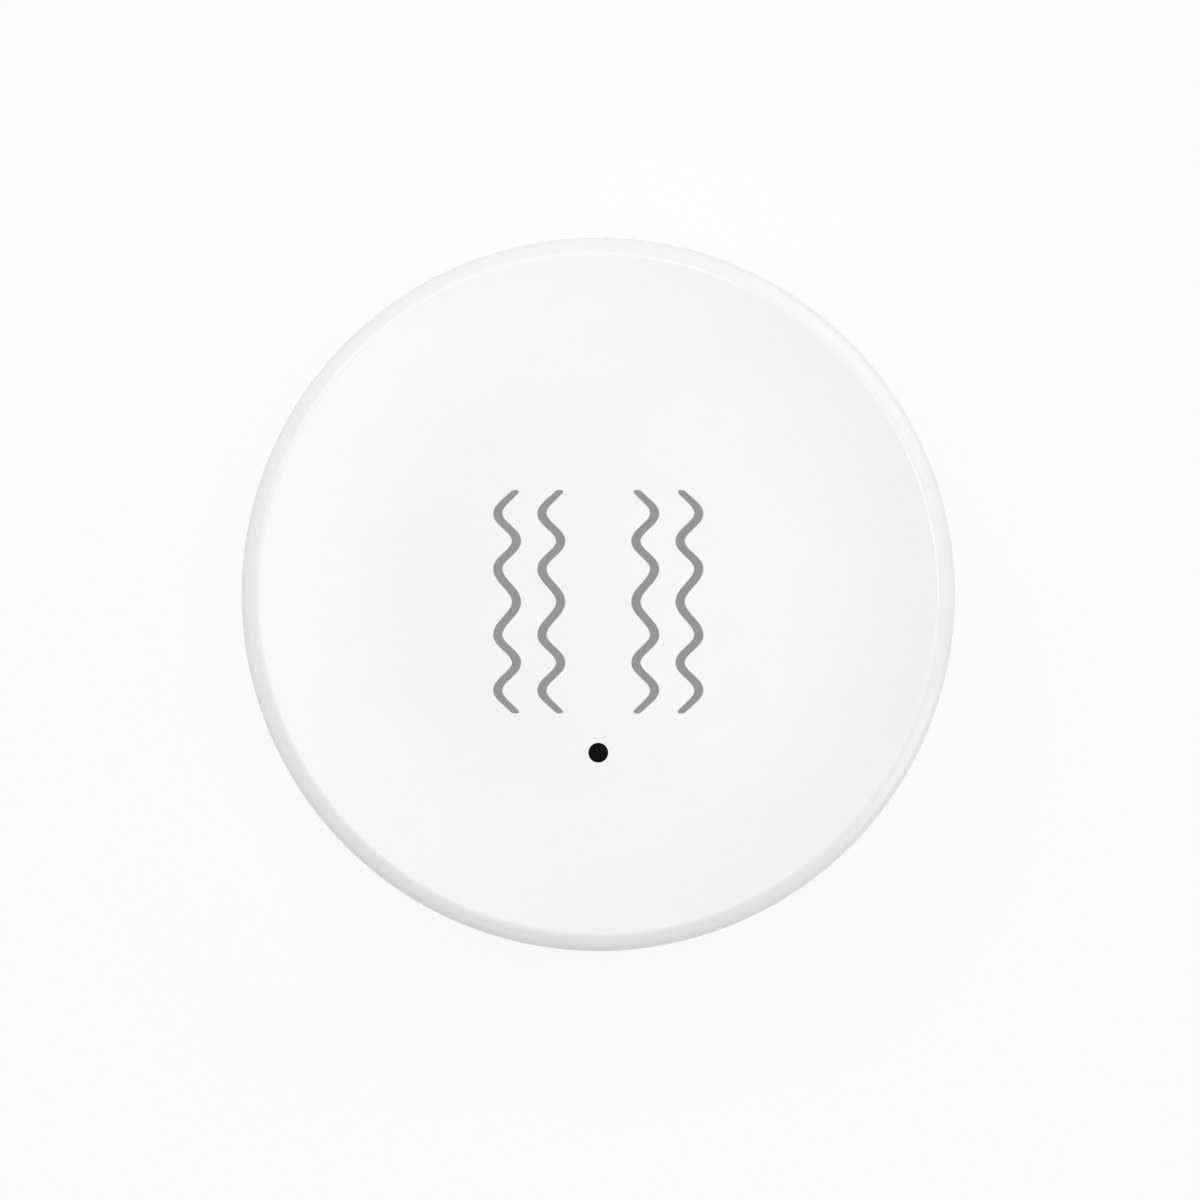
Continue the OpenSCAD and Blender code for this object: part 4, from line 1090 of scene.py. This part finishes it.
window_y = middle("led_lens").y
window_r = 0.00089
flange_hole_r = 0.0018
flange_hole_z = 0.0178
added(cover, lathed((
    (window_r, face_z),
    (window_r, flange_hole_z),
    (flange_hole_r, flange_hole_z),
    (flange_hole_r, ceiling_z),
), steps=turn_steps, y=window_y))
ejector_r = 0.0016
ejector_z = ceiling_z + 0.00008
ejector_places = ((-0.009, 0.008), (0.009, 0.008), (-0.010, -0.006), (0.010, -0.006))
for x, y in ejector_places:
    added(cover, lathed((
        (0, ejector_z),
        (ejector_r, ejector_z),
        (ejector_r, ceiling_z),
    ), steps=96, x=x, y=y))
for level in (face_z, ceiling_z):
    open_edges = [e for e in cover.edges if e.is_boundary]
    loops = [e for e in open_edges if all(abs(v.co.z - level) < level_gap for v in e.verts)]
    bmesh.ops.triangle_fill(cover, edges=loops, use_beauty=True)
bmesh.ops.recalc_face_normals(cover, faces=cover.faces)

lug_r = 0.02933
lug_low = 0.0046
lug_height = 0.0013
lug_span = 24
lug_sink = 0.0004
threaded(cover, lug_r, cover_in_r + lug_sink, lug_low, lug_height, 0, lug_span, lead)
made("dished_cover", cover, cover_plastic, "cover", "cover_plastic", "front_cover")

# Wave marks
# Two pairs of wavy lines in grey ink, pad-printed on the flat of the face. The half waves beside the
# middle are a little longer than the others, and each line narrows towards its level-cut, rounded ends.

wave_inner = 0.00421
wave_pitch = 0.00396
wave_swing = 0.00084
wave_mid = 0.00297
wave_half = 0.00248
wave_count = 7
wave_tail = 0.00085
stroke_w = 0.00082
slope_thinning = 0.13
stroke_taper = 0.27
taper_l = 0.0021
tip_round = 0.00021
heel_round = 0.00045
marks_y = -0.00067
wave_bend = wave_mid + wave_half * (wave_count / 2 - 1)
wave_reach = wave_bend + wave_tail
stroke_steps = 160


def wave_at(s):
    """Sideways place and slope of a line at the height s from its middle."""
    height = min(abs(s), wave_bend)
    stretch = wave_mid if height <= wave_mid else wave_half
    phase = math.pi * (height / wave_mid if height <= wave_mid else 1 + (height - wave_mid) / wave_half)
    slope = -math.copysign(wave_swing * math.pi / stretch * math.sin(phase), s * math.sin(phase))
    return wave_swing * math.cos(phase) + abs(slope) * max(abs(s) - wave_bend, 0), slope


def stroke(shape, centre_x):
    """Pulls a short edge along one wavy line, with straight tails that run past its ends."""
    past_end = wave_reach + stroke_w
    heights = [wave_bend * (2 * i / stroke_steps - 1) for i in range(stroke_steps + 1)]
    rows = []
    for s in [-past_end, *heights, past_end]:
        x, slope = wave_at(s)
        narrowing = min(max(1 - (wave_reach - abs(s)) / taper_l, 0), 1)
        centre = Vector((centre_x + x, marks_y + s, face_z))
        width = stroke_w * (1 - stroke_taper * narrowing) * (1 - slope_thinning * min(slope ** 2, 1))
        across = Vector((1, -slope, 0)).normalized() * width / 2
        rows.append((centre - across, centre + across))
    pulled(shape, rows)


grey_ink = plastic(
    "grey_ink", (0.29, 0.29, 0.29), rough=0.6, grain=14000, relief=3e-6, Specular_IOR_Level=0.25,
)
marks = bmesh.new()
for distance in (wave_inner, wave_inner + wave_pitch):
    stroke(marks, -distance)
for end in (-1, 1):
    cut_y = marks_y + end * wave_reach
    cut_off(marks, (0, cut_y, 0), (0, end, 0))
    for corner in [v for v in marks.verts if abs(v.co.y - cut_y) < merge_gap]:
        heel = corner.calc_edge_angle() < math.pi / 2
        rounded(marks, corner, heel_round if heel else tip_round)
bmesh.ops.recalc_face_normals(marks, faces=marks.faces)
bmesh.ops.mirror(marks, geom=marks.verts[:] + marks.edges[:] + marks.faces[:], axis="X", merge_dist=-1)
thickened(marks, ink_t)
made("ink_waves", marks, grey_ink, "cover", "grey_ink", "wave_marks")

# Light window
# A small plug of smoked polycarbonate, pressed into the cover from behind. Its polished tip ends just
# under the face and looks black until the light behind it shines.

lens_low, lens_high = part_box("led_lens")
lens_flange_r = lens_high.x
lens_r = 0.00088
lens_flange_top = 0.0178
lens_flange_round = 0.0001
lens_tip_round = 0.00001
smoked_plastic = plastic(
    "smoked_plastic", (0.004, 0.004, 0.0042), rough=0.3, grain=20000, relief=3e-7,
    Specular_IOR_Level=0.02,
)
lens = lathed((
    (0, lens_low.z),
    (lens_flange_r, lens_low.z, lens_flange_round),
    (lens_flange_r, lens_flange_top, lens_flange_round),
    (lens_r, lens_flange_top),
    (lens_r, lens_high.z, lens_tip_round),
    (0, lens_high.z),
), steps=96, y=window_y)
made("smoked_lens", lens, smoked_plastic, "cover", "smoked_plastic", "led_lens", crease=50)

# Studio
# A pale floor under a white sky. The key lamp stands low at the upper right, two lamps at the upper left
# shape the dish, a low one shapes the bevel, two small high ones draw a bright line along the ridge, and
# one overhead fades towards the rim. The camera looks straight down on the face.

floor_size = 3.0
floor_glow = 0.86
glow_near, glow_far = 0.15, 0.5
touching = 0.003
sky_light = 0.5
floor = bmesh.new()
bmesh.ops.create_grid(floor, x_segments=1, y_segments=1, size=floor_size / 2)
studio_floor = placed("studio_floor", frozen("studio_floor", floor))

floor_white, floor_tree = painted(
    "floor_white", Base_Color=(0.9, 0.9, 0.9, 1), Roughness=0.9, Specular_IOR_Level=0,
)
paint = floor_tree.nodes["Principled BSDF"].outputs["BSDF"]
rays = node(floor_tree, "LightPath").outputs
seen = worked_out(floor_tree, "MAXIMUM", rays["Is Camera Ray"], rays["Is Transmission Ray"])
place = node(floor_tree, "TexCoord").outputs["Object"]
away = node(floor_tree, "VectorMath", {0: place}, operation="LENGTH").outputs["Value"]
whiter = ranged(floor_tree, away, floor_glow, 1.0, glow_near, glow_far)
share = worked_out(floor_tree, "MULTIPLY", seen, whiter)
glow = node(floor_tree, "Emission", {"Color": (1, 1, 1, 1), "Strength": 1.0}).outputs[0]
pale = node(floor_tree, "MixShader", {0: share, 1: paint, 2: glow}).outputs[0]
close = worked_out(floor_tree, "LESS_THAN", rays["Ray Length"], touching)
below = node(floor_tree, "NewGeometry").outputs["Backfacing"]
open_to = worked_out(floor_tree, "MAXIMUM", close, below)
clear = node(floor_tree, "BsdfTransparent").outputs[0]
one_way = node(floor_tree, "MixShader", {0: open_to, 1: pale, 2: clear}).outputs[0]
floor_tree.links.new(one_way, floor_tree.nodes["Material Output"].inputs["Surface"])
studio_floor.data.materials.append(floor_white)

sky = bpy.data.worlds.new("white_sky")
sky.use_nodes = True
sky_tree = sky.node_tree
background = sky_tree.nodes["Background"]
background.inputs["Color"].default_value = (1, 1, 1, 1)
rays = node(sky_tree, "LightPath").outputs
mirrored = worked_out(sky_tree, "MAXIMUM", rays["Is Camera Ray"], rays["Is Glossy Ray"])
seen = worked_out(sky_tree, "MAXIMUM", mirrored, rays["Is Transmission Ray"])
level = ranged(sky_tree, seen, sky_light, 1.0, start=0.0, end=1.0)
sky_tree.links.new(level, background.inputs["Strength"])
bpy.context.scene.world = sky


def lamp(name, azimuth, elevation, distance, size, power):
    """A square soft lamp that faces the tag from a direction in degrees, with a power in watts."""
    light = bpy.data.lights.new(name, "AREA")
    light.size = size
    light.energy = power
    around, up = math.radians(azimuth), math.radians(elevation)
    back = Vector((math.cos(around) * math.cos(up), math.sin(around) * math.cos(up), math.sin(up)))
    stand = placed(name, light)
    stand.location = back * distance
    stand.rotation_mode = "QUATERNION"
    stand.rotation_quaternion = back.to_track_quat("Z", "Y")


lamp("key", 40, 24, 1.0, 0.75, 1.73)
lamp("low_right", 330, 15, 0.8, 0.36, 0.82)
lamp("high_left", 120, 55, 0.5, 0.3, 0.54)
lamp("left", 160, 55, 0.5, 0.3, 0.255)
lamp("ridge_right", 15, 74, 0.8, 0.08, 0.41)
lamp("ridge_top", 75, 74, 0.8, 0.08, 0.325)
lamp("overhead", 340, 86, 0.8, 0.1, 0.215)

photo_px = 1200
disc_px = 713.3
disc_left, disc_up = 1.7, 5.7
sensor_mm, lens_mm = 36.0, 200.0
widest_z = ridge_z - bevel_drop - edge_round / 2
view_w = 2 * body_r * photo_px / disc_px
pixel = view_w / photo_px
camera = placed("camera", bpy.data.cameras.new("camera"))
camera.data.sensor_width = sensor_mm
camera.data.lens = lens_mm
camera.location = (disc_left * pixel, -disc_up * pixel, widest_z + view_w * lens_mm / sensor_mm)
camera.data.clip_end = 10
bpy.context.scene.camera = camera
bpy.context.scene.view_settings.view_transform = "Standard"
